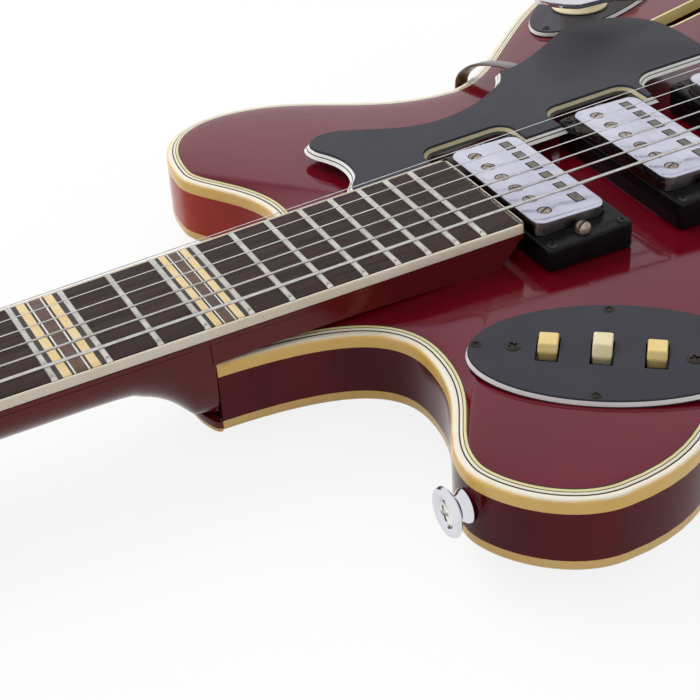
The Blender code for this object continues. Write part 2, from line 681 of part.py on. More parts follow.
def add_neck():
    heel_depth = HEEL_RISE + RIM_DEPTH - BACK_THICK - GAP
    grow = NECK_DEPTH_BODY - NECK_DEPTH_NUT
    stations = [(-0.004, NECK_DEPTH_NUT, 2.2)]
    stations += [(x, NECK_DEPTH_NUT + grow * x / HEEL_START, 2.2) for x in (HEEL_START * 0.3, HEEL_START * 0.6, HEEL_START * 0.9, HEEL_START)]
    reach = HEEL_AT - HEEL_START
    for share, fall, fullness in ((0.26, 0.18, 2.3), (0.45, 0.40, 2.6), (0.56, 0.58, 3.0), (0.65, 0.80, 3.4),
                                  (0.74, 1.0, 4.5)):
        depth = NECK_DEPTH_BODY + (heel_depth - NECK_DEPTH_BODY) * fall
        stations.append((HEEL_START + reach * share, depth, fullness))
    rings = [neck_section(x, depth, full, board_half(x)) for x, depth, full in stations]
    rings.append(neck_section(HEEL_AT, heel_depth, 7, TONGUE_HALF, last=True))
    neck = add_object("neck", skin(rings), "cherry_neck", neck_frame)

    # the head is a flat plate, set down behind the nut
    head_top = -HEAD_STEP
    nut_end = NUT_THICK + 0.0035
    outline = smooth_line([(-nut_end, board_half(0)), (-HEAD_FLARE_X * 0.62, HEAD_HALF * 0.78),
                           (-HEAD_FLARE_X, HEAD_HALF * 0.97), (-HEAD_FLARE_X - 0.02, HEAD_HALF),
                           (-HEAD_LENGTH + 0.022, HEAD_TIP_HALF + 0.002),
                           (-HEAD_LENGTH + 0.004, HEAD_TIP_HALF - 0.004),
                           (-HEAD_LENGTH + 0.002, 0.018), (-HEAD_LENGTH, 0)], 4)
    whole = [(OVERLAP * 4, board_half(0))] + outline
    whole += [(x, -y) for x, y in reversed(whole[:-1])]
    weld_on(neck, "join_head", prism(whole, head_top - HEAD_THICK, head_top), parent=neck_frame)
    ledge = prism([(-nut_end, -board_half(0)), (0.02, -board_half(0) + 0.0006),
                   (0.02, board_half(0) - 0.0006), (-nut_end, board_half(0))],
                  head_top - OVERLAP, -BOARD_THICK - GAP)
    weld_on(neck, "join_nut_ledge", ledge, parent=neck_frame)

    # over the body the neck carries the fingerboard, and its tenon goes down into the block
    rings = []
    wide = (TENON_HALF, board_half(HEEL_AT))
    steps = 8
    for i in range(steps + 1):
        at = HEEL_X + (EXTENSION_END + OVERLAP) * i / steps - OVERLAP
        seat = max(top_height(at, y) for y in wide) + GAP
        x, _, low = to_neck(at, 0, seat)
        high = -BOARD_THICK - GAP
        half = board_half(x)
        slant = EXTENSION_SLANT if i == steps else 0
        rings.append([(x, -half, low), (x + slant, -half, high), (x + slant, half, high), (x, half, low)])
    weld_on(neck, "join_extension", skin(rings), parent=neck_frame)
    tenon_high = EDGE_TOP + 0.006
    tenon = box((TENON_END + OVERLAP, 2 * TENON_HALF, TENON_DEPTH + 0.006),
                (HEEL_X + (TENON_END - OVERLAP) / 2 - GAP, 0, tenon_high - (TENON_DEPTH + 0.006) / 2))
    weld_on(neck, "join_tenon", tenon)
    groove = box((TRUSS_END - TRUSS_START, TRUSS_WIDTH + 2 * GAP, 2 * (TRUSS_DEPTH + GAP)),
                 ((TRUSS_END + TRUSS_START) / 2, 0, -BOARD_THICK - GAP))
    cut(neck, "cut_truss_groove", groove, parent=neck_frame)
    for x, y in tuner_places():
        hole = rod(POST_HOLE, head_top - HEAD_THICK - 0.002, head_top + 0.002, 12)
        cut(neck, f"cut_post_hole_{int(abs(x) * 1000)}_{'t' if y > 0 else 'b'}", hole,
            location=(x, y, 0), parent=neck_frame)

    truss = box((TRUSS_END - TRUSS_START - 2 * GAP - 0.004, TRUSS_WIDTH, TRUSS_DEPTH - 0.0015),
                ((TRUSS_END + TRUSS_START) / 2 + 0.002, 0,
                 -BOARD_THICK - GAP - TRUSS_DEPTH + (TRUSS_DEPTH - 0.0015) / 2))
    add_object("truss_rod", truss, "steel", neck_frame)
    cover = [(-nut_end - 0.001, -COVER_HALF * 0.8), (-nut_end - 0.001, COVER_HALF * 0.8)]
    cover += smooth_line([(-nut_end - 0.012, COVER_HALF), (-nut_end - COVER_LENGTH * 0.6, COVER_HALF * 0.8),
                          (-nut_end - COVER_LENGTH, 0), (-nut_end - COVER_LENGTH * 0.6, -COVER_HALF * 0.8),
                          (-nut_end - 0.012, -COVER_HALF)], 4)
    add_object("truss_rod_cover", prism(cover, head_top + GAP, head_top + GAP + COVER_THICK),
               "black_plastic", neck_frame)

    cap = smooth_line([(-GAP, TONGUE_HALF), (-HEEL_CAP_LENGTH * 0.45, TONGUE_HALF * 0.93),
                       (-HEEL_CAP_LENGTH * 0.88, TONGUE_HALF * 0.6), (-HEEL_CAP_LENGTH, 0)], 4)
    cap += [(x, -y) for x, y in reversed(cap[:-1])]
    add_object("heel_cap", prism(cap, BACK_ARCH, BACK_ARCH + BACK_THICK - GAP), "cream",
               location=(HEEL_X, 0, 0))


def add_fingerboard():
    start, end = GAP, BOARD_END - BOARD_BINDING - GAP
    line = [(start, -BOARD_THICK), (end, -BOARD_THICK), (end, 0)]
    for number in range(FRET_COUNT, 0, -1):
        at = fret_at(number)
        line += [(at + FRET_WIDTH / 2, 0), (at + FRET_CROWN / 2, FRET_HEIGHT),
                 (at - FRET_CROWN / 2, FRET_HEIGHT), (at - FRET_WIDTH / 2, 0)]
    line.append((start, 0))
    rings = [[(x, side * (playing_half(x) - GAP), z) for x, z in line] for side in (-1, 1)]
    add_object("fingerboard", skin(rings), "rosewood", neck_frame)

    corner = BOARD_CORNER
    outer = [(0, -board_half(0)), (BOARD_END - corner, -board_half(BOARD_END - corner))]
    inner_end = BOARD_END - BOARD_BINDING
    bend = arc((BOARD_END - corner, -board_half(BOARD_END) + corner), corner, -90, 0, 5)[1:]
    outer += bend + [(x, -y) for x, y in reversed(bend)]
    outer += [(BOARD_END - corner, board_half(BOARD_END - corner)), (0, board_half(0))]
    inner = [(0, playing_half(0)), (inner_end, playing_half(inner_end)),
             (inner_end, -playing_half(inner_end)), (0, -playing_half(0))]
    add_object("fingerboard_binding", prism(outer + inner, -BOARD_THICK, 0), "ivory", neck_frame)

    nut_low = -BOARD_THICK
    nut_top = STRING_OVER_NUT - GAP
    nut = box((NUT_THICK, 2 * board_half(0) - 0.0008, nut_top - nut_low),
              (-GAP - NUT_THICK / 2, 0, (nut_top + nut_low) / 2))
    add_object("nut", nut, "ivory", neck_frame)


# Strings and tuners. String 1 is the thickest and lies nearest the bass side.

def tuner_places():
    # the order follows the strings from the bass side: nearest post first on the outside
    bass = [(-TUNER_FIRST - TUNER_PITCH * k, -TUNER_SPREAD) for k in range(3)]
    treble = [(-TUNER_FIRST - TUNER_PITCH * k, TUNER_SPREAD) for k in (2, 1, 0)]
    return bass + treble


def string_y(index, spread):
    return spread * (index / 5 - 0.5)


BAR_AXIS_Z = CREST_TOP + VIBRATO_THICK + BAR_RISE
BAR_X = BAR_AT - ORIGIN_X


def add_strings():
    saddle_x = SCALE_LENGTH + 0.003
    for index, (post_x, post_y) in enumerate(tuner_places()):
        radius = STRING_RADII[index]
        nut_y, end_y = string_y(index, NUT_SPREAD), string_y(index, SADDLE_SPREAD)
        inward = -math.copysign(POST_RADIUS + GAP + radius, post_y)
        post_z = -HEAD_STEP + POST_HEIGHT * 0.42
        points = [(post_x - 0.001, post_y + inward, post_z), (post_x + 0.002, post_y + inward, post_z),
                  (-NUT_THICK - GAP, nut_y, STRING_OVER_NUT + radius),
                  (0, nut_y, STRING_OVER_NUT + radius),
                  (saddle_x - 0.002, end_y, STRING_OVER_SADDLE + radius),
                  (saddle_x + 0.002, end_y, STRING_OVER_SADDLE + radius)]
        reach = BAR_RADIUS + GAP + radius
        for degrees in (100, 80, 60, 40):
            angle = math.radians(degrees)
            points.append(to_neck(BAR_X + reach * math.cos(angle), end_y,
                                  BAR_AXIS_Z + reach * math.sin(angle)))
        curve = bpy.data.curves.new(f"string_{index + 1}", "CURVE")
        curve.dimensions = "3D"
        curve.bevel_depth = radius
        curve.bevel_resolution = 1
        curve.use_fill_caps = True
        curve.materials.append(finish("nickel_string"))
        spline = curve.splines.new("POLY")
        spline.points.add(len(points) - 1)
        for slot, point in zip(spline.points, points):
            slot.co = (*point, 1)
        string = bpy.data.objects.new(f"string_{index + 1}", curve)
        string.parent = neck_frame
        bpy.context.collection.objects.link(string)


def add_tuners():
    back = -HEAD_STEP - HEAD_THICK
    gear_low = back - GAP - TUNER_PLATE_THICK - GAP - GEAR_HEIGHT
    worm_z = gear_low + GEAR_HEIGHT / 2
    worm_shift = GEAR_RADIUS + WORM_RADIUS + GAP
    plate_low = back - GAP - TUNER_PLATE_THICK
    for side, name in ((-1, "bass"), (1, "treble")):
        places = [place for place in tuner_places() if place[1] * side > 0]
        xs = [place[0] for place in places]
        middle = (min(xs) + max(xs)) / 2
        half = (max(xs) - min(xs)) / 2 + TUNER_PLATE_END
        plate = prism(round_box(half, TUNER_PLATE_HALF, TUNER_PLATE_HALF * 0.2, 2), plate_low, plate_low + TUNER_PLATE_THICK)
        bmesh.ops.translate(plate, verts=plate.verts, vec=(middle, side * TUNER_SPREAD, 0))
        mount = add_object(f"tuner_plate_{name}", plate, "steel", neck_frame)
        for k, (x, y) in enumerate(places):
            for away in (-1, 1):
                lug = box((2 * LUG_HALF, LUG_THICK, LUG_DROP),
                          (x + worm_shift, y + away * LUG_AT, plate_low + 0.0004 - LUG_DROP / 2))
                weld_on(mount, f"join_lug_{name}_{k}_{away}", lug, parent=neck_frame)
            bore = rod(SHAFT_RADIUS + SLIDE_GAP, -0.012, 0.012, 10, "Y")
            cut(mount, f"cut_lug_bore_{name}_{k}", bore, location=(x + worm_shift, y, worm_z),
                parent=neck_frame)
            hole = rod(POST_HOLE, -0.003, 0.003, 12)
            cut(mount, f"cut_plate_hole_{name}_{k}", hole, location=(x, y, plate_low), parent=neck_frame)
    for index, (x, y) in enumerate(tuner_places()):
        axis = add_frame(f"post_axis_{index + 1}", (x, y, 0), parent=neck_frame)
        top = -HEAD_STEP + POST_HEIGHT
        waist = top - 0.006
        post = turned([(0, gear_low), (GEAR_RADIUS, gear_low), (GEAR_RADIUS, gear_low + GEAR_HEIGHT),
                       (POST_RADIUS, gear_low + GEAR_HEIGHT), (POST_RADIUS, waist - 0.003),
                       (POST_RADIUS * 0.8, waist), (POST_RADIUS, waist + 0.003),
                       (POST_RADIUS * 0.93, top - 0.0004), (0, top)], 12)
        add_object(f"tuner_post_{index + 1}", post, "chrome", axis)
        side = math.copysign(1, y)
        turn = add_frame(f"button_axis_{index + 1}", (x + worm_shift, y, worm_z), parent=neck_frame)
        reach = BUTTON_AT - TUNER_SPREAD
        end = LUG_AT + LUG_THICK / 2 + 0.001
        shaft = turned([(0, -end), (SHAFT_RADIUS, -end), (SHAFT_RADIUS, -WORM_HALF - 0.0002), (WORM_RADIUS, -WORM_HALF),
                        (WORM_RADIUS, WORM_HALF), (SHAFT_RADIUS, WORM_HALF + 0.0002), (SHAFT_RADIUS, reach),
                        (0, reach)], 10, "Y")
        if side < 0:
            bmesh.ops.rotate(shaft, matrix=Matrix.Rotation(math.pi, 3, "X"), verts=shaft.verts)
        button = add_object(f"tuner_button_{index + 1}", shaft, "chrome", turn)
        grip = bmesh.new()
        bmesh.ops.create_uvsphere(grip, u_segments=12, v_segments=6, radius=1)
        bmesh.ops.scale(grip, vec=BUTTON_HALF, verts=grip.verts)
        bmesh.ops.translate(grip, vec=(0, side * (reach + BUTTON_HALF[1] - 0.001), 0), verts=grip.verts)
        weld_on(button, f"join_grip_{index + 1}", grip, parent=turn)


# Pickups, their rings and the pickguard

def add_pickups():
    names = ("neck", "middle", "bridge")
    seat = CREST_TOP + GAP
    for name, at, cover_top, ring_top in zip(names, PICKUP_AT, PICKUP_TOP, RING_TOP):
        centre = (at - ORIGIN_X, 0, 0)
        top = EDGE_TOP + cover_top
        ring_high = EDGE_TOP + ring_top
        half_x, half_y = COVER_SIZE[0] / 2, COVER_SIZE[1] / 2
        hole = (half_x + GAP, half_y + GAP)
        ring = strip(round_box(RING_WIDTH / 2, RING_LENGTH / 2, RING_CORNER),
                     round_box(*hole, COVER_CORNER), seat, ring_high, closed=True)
        surround = add_object(f"pickup_ring_{name}", ring, "black_plastic", location=centre)
        low = top - PICKUP_DEPTH
        shell = prism(round_box(half_x, half_y, COVER_CORNER), low, top)
        pickup = add_object(f"pickup_{name}", shell, "chrome", location=centre)
        edge = pickup.modifiers.new("soft_edge", "BEVEL")
        edge.width = 0.0008
        edge.segments = 1
        edge.limit_method = "ANGLE"
        edge.angle_limit = math.radians(60)
        plate = box((2 * PICKUP_EAR_HALF, 2 * PICKUP_EAR, PICKUP_PLATE), (0, 0, low + PICKUP_PLATE / 2 + 0.001))
        weld_on(pickup, f"join_ears_{name}", plate, location=centre)
        for side, end in ((1, "treble"), (-1, "bass")):
            y = side * HEIGHT_SCREW_AT
            head = ring_high + GAP
            screw = turned([(0, low), (HEIGHT_SCREW, low), (HEIGHT_SCREW, head),
                            (HEIGHT_SCREW_HEAD, head), (HEIGHT_SCREW_HEAD, head + 0.0006),
                            (HEIGHT_SCREW_HEAD * 0.6, head + 0.0012), (0, head + 0.0012)], 10)
            weld_on(pickup, f"join_height_screw_{name}_{end}", screw,
                    location=(centre[0], y, 0))
            bore = rod(HEIGHT_SCREW + SLIDE_GAP, seat - 0.002, ring_high + 0.002, 10)
            cut(surround, f"cut_screw_hole_{name}_{end}", bore, location=(centre[0], y, 0))


def guard_outline():
    line = smooth_line(GUARD_EDGE + ((GUARD_BRIDGE_END, GUARD_BRIDGE_FAR),), 3)
    margin = RING_WIDTH / 2 + GUARD_RING_AIR
    r = GUARD_NOTCH_CORNER
    line += arc((GUARD_BRIDGE_START + r, GUARD_BRIDGE_FAR - r), r, 90, 180, 4)
    line.append((GUARD_BRIDGE_START, GUARD_NEAR))
    for start, end in ((at - margin, at + margin) for at in PICKUP_AT[1::-1]):
        line.append((end, GUARD_NEAR))
        line += arc((end - r, GUARD_NOTCH_FAR - r), r, 0, 90, 4)
        line += arc((start + r, GUARD_NOTCH_FAR - r), r, 90, 180, 4)
        line.append((start, GUARD_NEAR))
    return line + smooth_line(GUARD_END + GUARD_EDGE[:1], 3)[:-1]


def add_pickguard():
    points = guard_outline()
    rings = []
    for drop in (GUARD_THICK, 0):
        rings.append([(x - ORIGIN_X, y, EDGE_TOP + GUARD_HEIGHT + GUARD_SLOPE * (x - GUARD_AT) - drop)
                      for x, y in points])
    add_object("pickguard", skin(rings), "black_plastic")

    # the bracket is one bent strip, from under the guard, out past the rim and down to its side
    start = Vector((BRACKET_GUARD[0], BRACKET_GUARD[1]))
    under = EDGE_TOP + GUARD_HEIGHT + GUARD_SLOPE * (start.x - GUARD_AT) - GUARD_THICK
    under -= GAP + BRACKET_THICK / 2 + GUARD_SLOPE * BRACKET_WIDTH
    rim_y = max(rim_at(BRACKET_FOOT_X + side * BRACKET_WIDTH / 2) for side in (-1, 1))
    foot_y = rim_y + GAP + BRACKET_THICK / 2
    out_y = rim_y + BRACKET_OUT
    path = [(start.x, start.y, under), (start.x - 0.0015, start.y + BRACKET_RUN, under + 0.0002),
            (BRACKET_FOOT_X + 0.006, rim_y - 0.002, EDGE_TOP + 0.009),
            (BRACKET_FOOT_X + 0.001, out_y - 0.002, EDGE_TOP + 0.0065),
            (BRACKET_FOOT_X, out_y, EDGE_TOP + 0.002), (BRACKET_FOOT_X, out_y - 0.002, EDGE_TOP - 0.004),
            (BRACKET_FOOT_X, foot_y + 0.0006, EDGE_TOP - 0.0075),
            (BRACKET_FOOT_X, foot_y, EDGE_TOP - 0.0095), (BRACKET_FOOT_X, foot_y, EDGE_TOP - BRACKET_FOOT_DROP)]
    path = [Vector((x - ORIGIN_X, y, z)) for x, y, z in path]
    rings = []
    for i, point in enumerate(path):
        ahead = path[min(i + 1, len(path) - 1)] - path[max(i - 1, 0)]
        across = Vector((1, 0.0, 0.0)) * (BRACKET_WIDTH / 2)
        up = across.cross(ahead).normalized() * (BRACKET_THICK / 2)
        rings.append([tuple(point + across * a + up * b) for a, b in ((-1, -1), (1, -1), (1, 1), (-1, 1))])
    add_object("pickguard_bracket", skin(rings), "chrome")


def rim_at(x):
    # the outline's half width at a distance from the heel face, away from the horn
    here = x - ORIGIN_X
    for (x0, y0), (x1, y1) in zip(TREBLE_SIDE[20:], TREBLE_SIDE[21:]):
        if x0 <= here <= x1:
            return y0 + (y1 - y0) * (here - x0) / (x1 - x0)
    return LOWER_HALF


# Oval plates, switches and controls

def plate_frame(name, at, turn, half):
    # the frame leans with the arched top, lifted until no point of the oval's edge is in it
    centre = Vector((at[0] - ORIGIN_X, at[1]))
    spin = Matrix.Rotation(turn, 2)
    ends = [[top_height(*(centre + spin @ Vector(point) * sign)) for sign in (1, -1)]
            for point in ((half[0], 0), (0, half[1]))]
    slopes = [(high - low) / (2 * size) for (high, low), size in zip(ends, half)]
    across = (spin @ Vector((1, 0))).to_3d() + Vector((0, 0, slopes[0]))
    along = (spin @ Vector((0, 1))).to_3d() + Vector((0, 0, slopes[1]))
    up = across.cross(along).normalized()
    level = 0
    for point in oval(*half):
        place = centre + spin @ Vector(point)
        offset = (place - centre).to_3d() + Vector((0, 0, top_height(*place)))
        level = max(level, offset.dot(up) / up.z)
    across.normalize()
    lean = Matrix((across, up.cross(across), up)).transposed()
    return add_frame(name, (*centre, level + GAP), lean.to_euler())


def add_switches():
    frame = plate_frame("switch_frame", SWITCH_AT, SWITCH_TURN, SWITCH_HALF)
    plate = add_object("switch_plate", prism(oval(*SWITCH_HALF), 0, PLATE_THICK), "black_plastic", frame)
    row = add_frame("rocker_row", (*ROCKERS_SHIFT, 0), (0, 0, ROCKERS_TURN), frame)
    block_half = SWITCH_BLOCK_HALF
    block = add_object("switch_block", box((2 * block_half[0], 2 * block_half[1], SWITCH_BLOCK_DEPTH),
                                           (0, 0, -GAP - SWITCH_BLOCK_DEPTH / 2)), "phenolic", row)
    # rest tilts: the outer two are raised towards the near edge, the middle one away from it
    rest = (1, -1, 1)
    pivot = PLATE_THICK - 0.0022
    for index, sense in enumerate(rest):
        x = (index - 1) * ROCKER_PITCH
        window = box((2 * ROCKER_WINDOW[0], 2 * ROCKER_WINDOW[1], 0.02), (x, 0, 0))
        cut(plate, f"cut_window_{index}", window, parent=row)
        well = box((2 * (ROCKER_HALF[0] + GAP), 2 * ROCKER_WINDOW[1], 2 * ROCKER_DEPTH + 0.004), (x, 0, 0))
        cut(block, f"cut_well_{index}", well, parent=row)
        axis = add_frame(f"rocker_axis_{index + 1}", (x, 0, pivot), (sense * -ROCKER_TILT, 0, 0), row)
        w, half = ROCKER_HALF
        low = -ROCKER_DEPTH * 0.5
        shape = [(-half, 0), (-half * 0.5, low), (half * 0.5, low), (half, 0), (half, ROCKER_RISE),
                 (half * 0.86, ROCKER_RISE + 0.0006), (0, ROCKER_RISE + 0.0013),
                 (-half * 0.86, ROCKER_RISE + 0.0006), (-half, ROCKER_RISE)]
        cap = prism(shape, -w, w)
        bmesh.ops.transform(cap, matrix=Matrix(((0, 0, 1, 0), (1, 0, 0, 0), (0, 1, 0, 0), (0, 0, 0, 1))),
                            verts=cap.verts)
        look = "pale_plastic" if index == 1 else "cream_plastic"
        add_object(f"rocker_{index + 1}", cap, look, axis)


def add_controls():
    frame = plate_frame("control_frame", CONTROL_AT, CONTROL_TURN, CONTROL_HALF)
    plate = add_object("control_plate", prism(oval(*CONTROL_HALF), 0, PLATE_THICK), "black_plastic", frame)
    for name, x in (("volume", -KNOB_PITCH / 2), ("tone", KNOB_PITCH / 2)):
        bushing_top = PLATE_THICK + 0.0035
        add_object(f"pot_{name}", turned(
            [(0, -POT_HEIGHT), (POT_RADIUS, -POT_HEIGHT), (POT_RADIUS, -GAP), (BUSHING_RADIUS, -GAP),
             (BUSHING_RADIUS, bushing_top), (SHAFT_KNOB + SLIDE_GAP, bushing_top),
             (SHAFT_KNOB + SLIDE_GAP, -0.002), (0, -0.002)], 20), "pot_metal", frame, location=(x, 0, 0))
        hole = rod(BUSHING_RADIUS + GAP, -0.004, PLATE_THICK + 0.004, 24)
        cut(plate, f"cut_pot_hole_{name}", hole, location=(x, 0, 0), parent=frame)
        base = PLATE_THICK + SLIDE_GAP
        inner = BUSHING_RADIUS + 0.0012
        ceiling = bushing_top + 0.0008
        knob = turned(
            [(0, -0.0015), (SHAFT_KNOB, -0.0015), (SHAFT_KNOB, ceiling), (inner, ceiling), (inner, base),
             (KNOB_RADIUS, base), (KNOB_RADIUS, base + 0.0012), (KNOB_TOP_RADIUS + 0.001, base + KNOB_SKIRT),
             (KNOB_TOP_RADIUS, base + KNOB_SKIRT + 0.001), (KNOB_TOP_RADIUS * 0.95, base + KNOB_HEIGHT - 0.0008),
             (KNOB_TOP_RADIUS * 0.86, base + KNOB_HEIGHT), (0, base + KNOB_HEIGHT)], 24)
        axis = add_frame(f"{name}_axis", (x, 0, 0), parent=frame)
        add_object(f"knob_{name}", knob, "cream_plastic", axis)


# Bridge, vibrato, strap buttons and jack

def add_bridge():
    saddle_x, _, saddle_z = from_neck(SCALE_LENGTH + 0.003, 0, STRING_OVER_SADDLE)
    base_low = CREST_TOP + GAP
    base_top = base_low + BRIDGE_BASE[2]
    half_x, half_y = BRIDGE_BASE[0] / 2, BRIDGE_BASE[1] / 2
    foot = [(-half_y, base_low), (half_y, base_low), (half_y, base_low + 0.003), (half_y * 0.8, base_top),
            (-half_y * 0.8, base_top), (-half_y, base_low + 0.003)]
    shape = prism([(y, z) for y, z in foot], -half_x, half_x)
    bmesh.ops.transform(shape, matrix=Matrix(((0, 0, 1, 0), (1, 0, 0, 0), (0, 1, 0, 0), (0, 0, 0, 1))),
                        verts=shape.verts)
    base = add_object("bridge_base", shape, "rosewood", location=(saddle_x, 0, 0))
    bar_top = saddle_z - GAP - SADDLE_RIDGE
    bar_low = bar_top - SADDLE_BAR[2]
    saddle = add_object("bridge_saddle", box(SADDLE_BAR, (0, 0, (bar_top + bar_low) / 2)), "chrome",
                        location=(saddle_x, 0, 0))
    edge = saddle.modifiers.new("soft_edge", "BEVEL")
    edge.width = 0.0012
    edge.segments = 2
    edge.limit_method = "ANGLE"
    for index in range(6):
        y = string_y(index, SADDLE_SPREAD)
        ridge = side_prism([(-0.003, bar_top - 0.001), (0.003, bar_top - 0.001), (0.0006, bar_top + SADDLE_RIDGE),
                            (-0.0006, bar_top + SADDLE_RIDGE)], y - 0.0032, y + 0.0032)
        weld_on(saddle, f"join_saddle_{index + 1}", ridge, location=(saddle_x, 0, 0))
    for side, name in ((-1, "bass"), (1, "treble")):
        y = side * BRIDGE_POST_AT
        wheel_top = bar_low - GAP
        wheel_low = wheel_top - BRIDGE_WHEEL_THICK
        post = turned([(0, base_top - 0.004), (BRIDGE_POST, base_top - 0.004), (BRIDGE_POST, wheel_low),
                       (BRIDGE_WHEEL, wheel_low), (BRIDGE_WHEEL, wheel_top), (BRIDGE_POST, wheel_top),
                       (BRIDGE_POST, bar_top + 0.0006), (0, bar_top + 0.0006)], 16)
        weld_on(base, f"join_bridge_post_{name}", post, location=(saddle_x, y, 0))
        hole = rod(BRIDGE_POST + GAP, bar_low - 0.002, bar_top + 0.004, 16)
        cut(saddle, f"cut_saddle_hole_{name}", hole, location=(saddle_x, y, 0))


def add_vibrato():
    start, tail = VIBRATO_PLATE_START - ORIGIN_X, BODY_LENGTH - ORIGIN_X + GAP
    steps = 6
    under = []
    for i in range(steps + 1):
        x = start + (tail - start) * i / steps
        under.append((x, max(top_height(min(x, tail - BINDING_WIDTH * 2), y) for y in (0, VIBRATO_HALF)) + GAP))
    over = [(x, z + VIBRATO_THICK) for x, z in under]
    over[-1] = (tail + VIBRATO_THICK, over[-1][1])
    leg = [(tail, EDGE_TOP - VIBRATO_LEG), (tail + VIBRATO_THICK, EDGE_TOP - VIBRATO_LEG)]
    base = add_object("vibrato_base", side_prism(under + leg + over[::-1], -VIBRATO_HALF, VIBRATO_HALF),
                      "chrome")
    high = top_height(BAR_X, 0) + GAP + VIBRATO_THICK
    ear_in = BAR_HALF + SLIDE_GAP
    for side, name in ((-1, "bass"), (1, "treble")):
        y0, y1 = sorted((side * ear_in, side * (ear_in + EAR_THICK)))
        crown = arc((BAR_X, BAR_AXIS_Z), EAR_HALF, 0, 180, 8)
        ear = side_prism([(BAR_X - EAR_HALF - 0.006, high - OVERLAP), (BAR_X + EAR_HALF + 0.006, high - OVERLAP * 2)]
                         + crown, y0, y1)
        weld_on(base, f"join_ear_{name}", ear)
        bore = rod(BAR_PIVOT + SLIDE_GAP, y0 - 0.002, y1 + 0.002, 20, "Y")
        cut(base, f"cut_ear_bore_{name}", bore, location=(BAR_X, 0, BAR_AXIS_Z))

    axis = add_frame("vibrato_axis", (BAR_X, 0, BAR_AXIS_Z))
    lug_in = ARM_LUG_Y - ARM_LUG_HALF
    outer = -(ear_in + EAR_THICK + 0.001)
    bar = add_object("vibrato_bar", turned(
        [(0, outer), (BAR_PIVOT, outer), (BAR_PIVOT, -BAR_HALF), (BAR_RADIUS, -BAR_HALF),
         (BAR_RADIUS, BAR_HALF), (BAR_PIVOT, BAR_HALF), (BAR_PIVOT, lug_in + OVERLAP),
         (0, lug_in + OVERLAP)], 20, "Y"), "chrome", axis)
    lug = prism(round_box(ARM_LUG_HALF, ARM_LUG_HALF, 0.003, 3), -0.0045, ARM_LUG_RISE)
    weld_on(bar, "join_arm_lug", lug, location=(0, ARM_LUG_Y, 0), parent=axis)
    for index in range(6):
        y = string_y(index, SADDLE_SPREAD)
        pin = rod(PIN_RADIUS, BAR_RADIUS - 0.001, BAR_RADIUS + PIN_HEIGHT, 10)
        weld_on(bar, f"join_pin_{index + 1}", pin, location=(0, y, 0), turn=(0, math.radians(68), 0),
                parent=axis)

    swing = add_frame("arm_axis", (0, ARM_LUG_Y, 0), parent=axis)
    pin_low = ARM_LUG_RISE + SLIDE_GAP
    bore = rod(ARM_PIN_RADIUS - 0.0006 + SLIDE_GAP, ARM_LUG_RISE - 0.006, ARM_LUG_RISE + 0.002, 20)
    cut(bar, "cut_arm_bore", bore, location=(0, ARM_LUG_Y, 0), parent=axis)
    level = pin_low + ARM_RISE - ARM_RADIUS
    path = [(0.004, -0.001, level)]   # just past the pin
    for (x, y), height in zip(ARM_BENDS, ARM_HEIGHTS):
        path.append((x - ORIGIN_X - BAR_X, y - ARM_LUG_Y, EDGE_TOP + height - BAR_AXIS_Z))
    arm = add_object("vibrato_arm", tube(path, ARM_RADIUS, 12), "chrome", swing)
    collar = turned([(0, pin_low - 0.005), (ARM_PIN_RADIUS - 0.0006, pin_low - 0.005),
                     (ARM_PIN_RADIUS - 0.0006, pin_low), (0.0055, pin_low), (0.0055, level + ARM_RADIUS),
                     (0.0045, level + ARM_RADIUS + 0.001), (0, level + ARM_RADIUS + 0.001)])
    weld_on(arm, "join_arm_pin", collar, parent=swing)
    end, before = Vector(path[-1]), Vector(path[-2])
    heading = math.atan2(end.y - before.y, end.x - before.x)
    half = [(-0.006, 0.0030), (0, 0.0065), (0.006, 0.0110), (0.013, PADDLE_HALF), (0.022, PADDLE_HALF * 0.93),
            (PADDLE_LENGTH - 0.002, PADDLE_TIP_HALF), (PADDLE_LENGTH, PADDLE_TIP_HALF - 0.002)]
    blade = half + [(x, -y) for x, y in reversed(half)]
    paddle = prism(blade, -PADDLE_THICK / 2, PADDLE_THICK / 2)
    weld_on(arm, "join_paddle", paddle, parent=swing, location=end - (end - before).normalized() * 0.006,
            turn=(0, 0, heading))


def add_strap_button(name, location, turn):
    profile = [(0, GAP), (STRAP_FLANGE, GAP), (STRAP_FLANGE, 0.0012), (STRAP_WAIST, 0.003),
               (STRAP_WAIST * 0.95, STRAP_LENGTH * 0.55), (STRAP_DISC, STRAP_LENGTH - 0.0026),
               (STRAP_DISC, STRAP_LENGTH - 0.0012), (STRAP_DISC * 0.82, STRAP_LENGTH), (0, STRAP_LENGTH)]
    add_object(name, turned(profile, 16), "chrome", location=location, turn=turn)


def add_jack():
    x, y = JACK_AT - ORIGIN_X, LOWER_HALF
    height = BACK_ARCH + RIM_DEPTH / 2
    jack = turned([(0, -JACK_DEPTH), (JACK_BARREL, -JACK_DEPTH), (JACK_BARREL, GAP + 0.0002),
                   (JACK_PLATE, GAP + 0.0002), (JACK_PLATE, JACK_PLATE_THICK), (JACK_BORE, JACK_PLATE_THICK),
                   (JACK_BORE, -JACK_DEPTH + 0.003), (0, -JACK_DEPTH + 0.003)], 24, "Y")
    add_object("output_jack", jack, "chrome", location=(x, y, height))
    hole = rod(JACK_HOLE - 0.001, -0.02, 0.02, 24, "Y")
    cut(bpy.data.objects["rim_treble"], "cut_jack_hole", hole, location=(x, y, height))


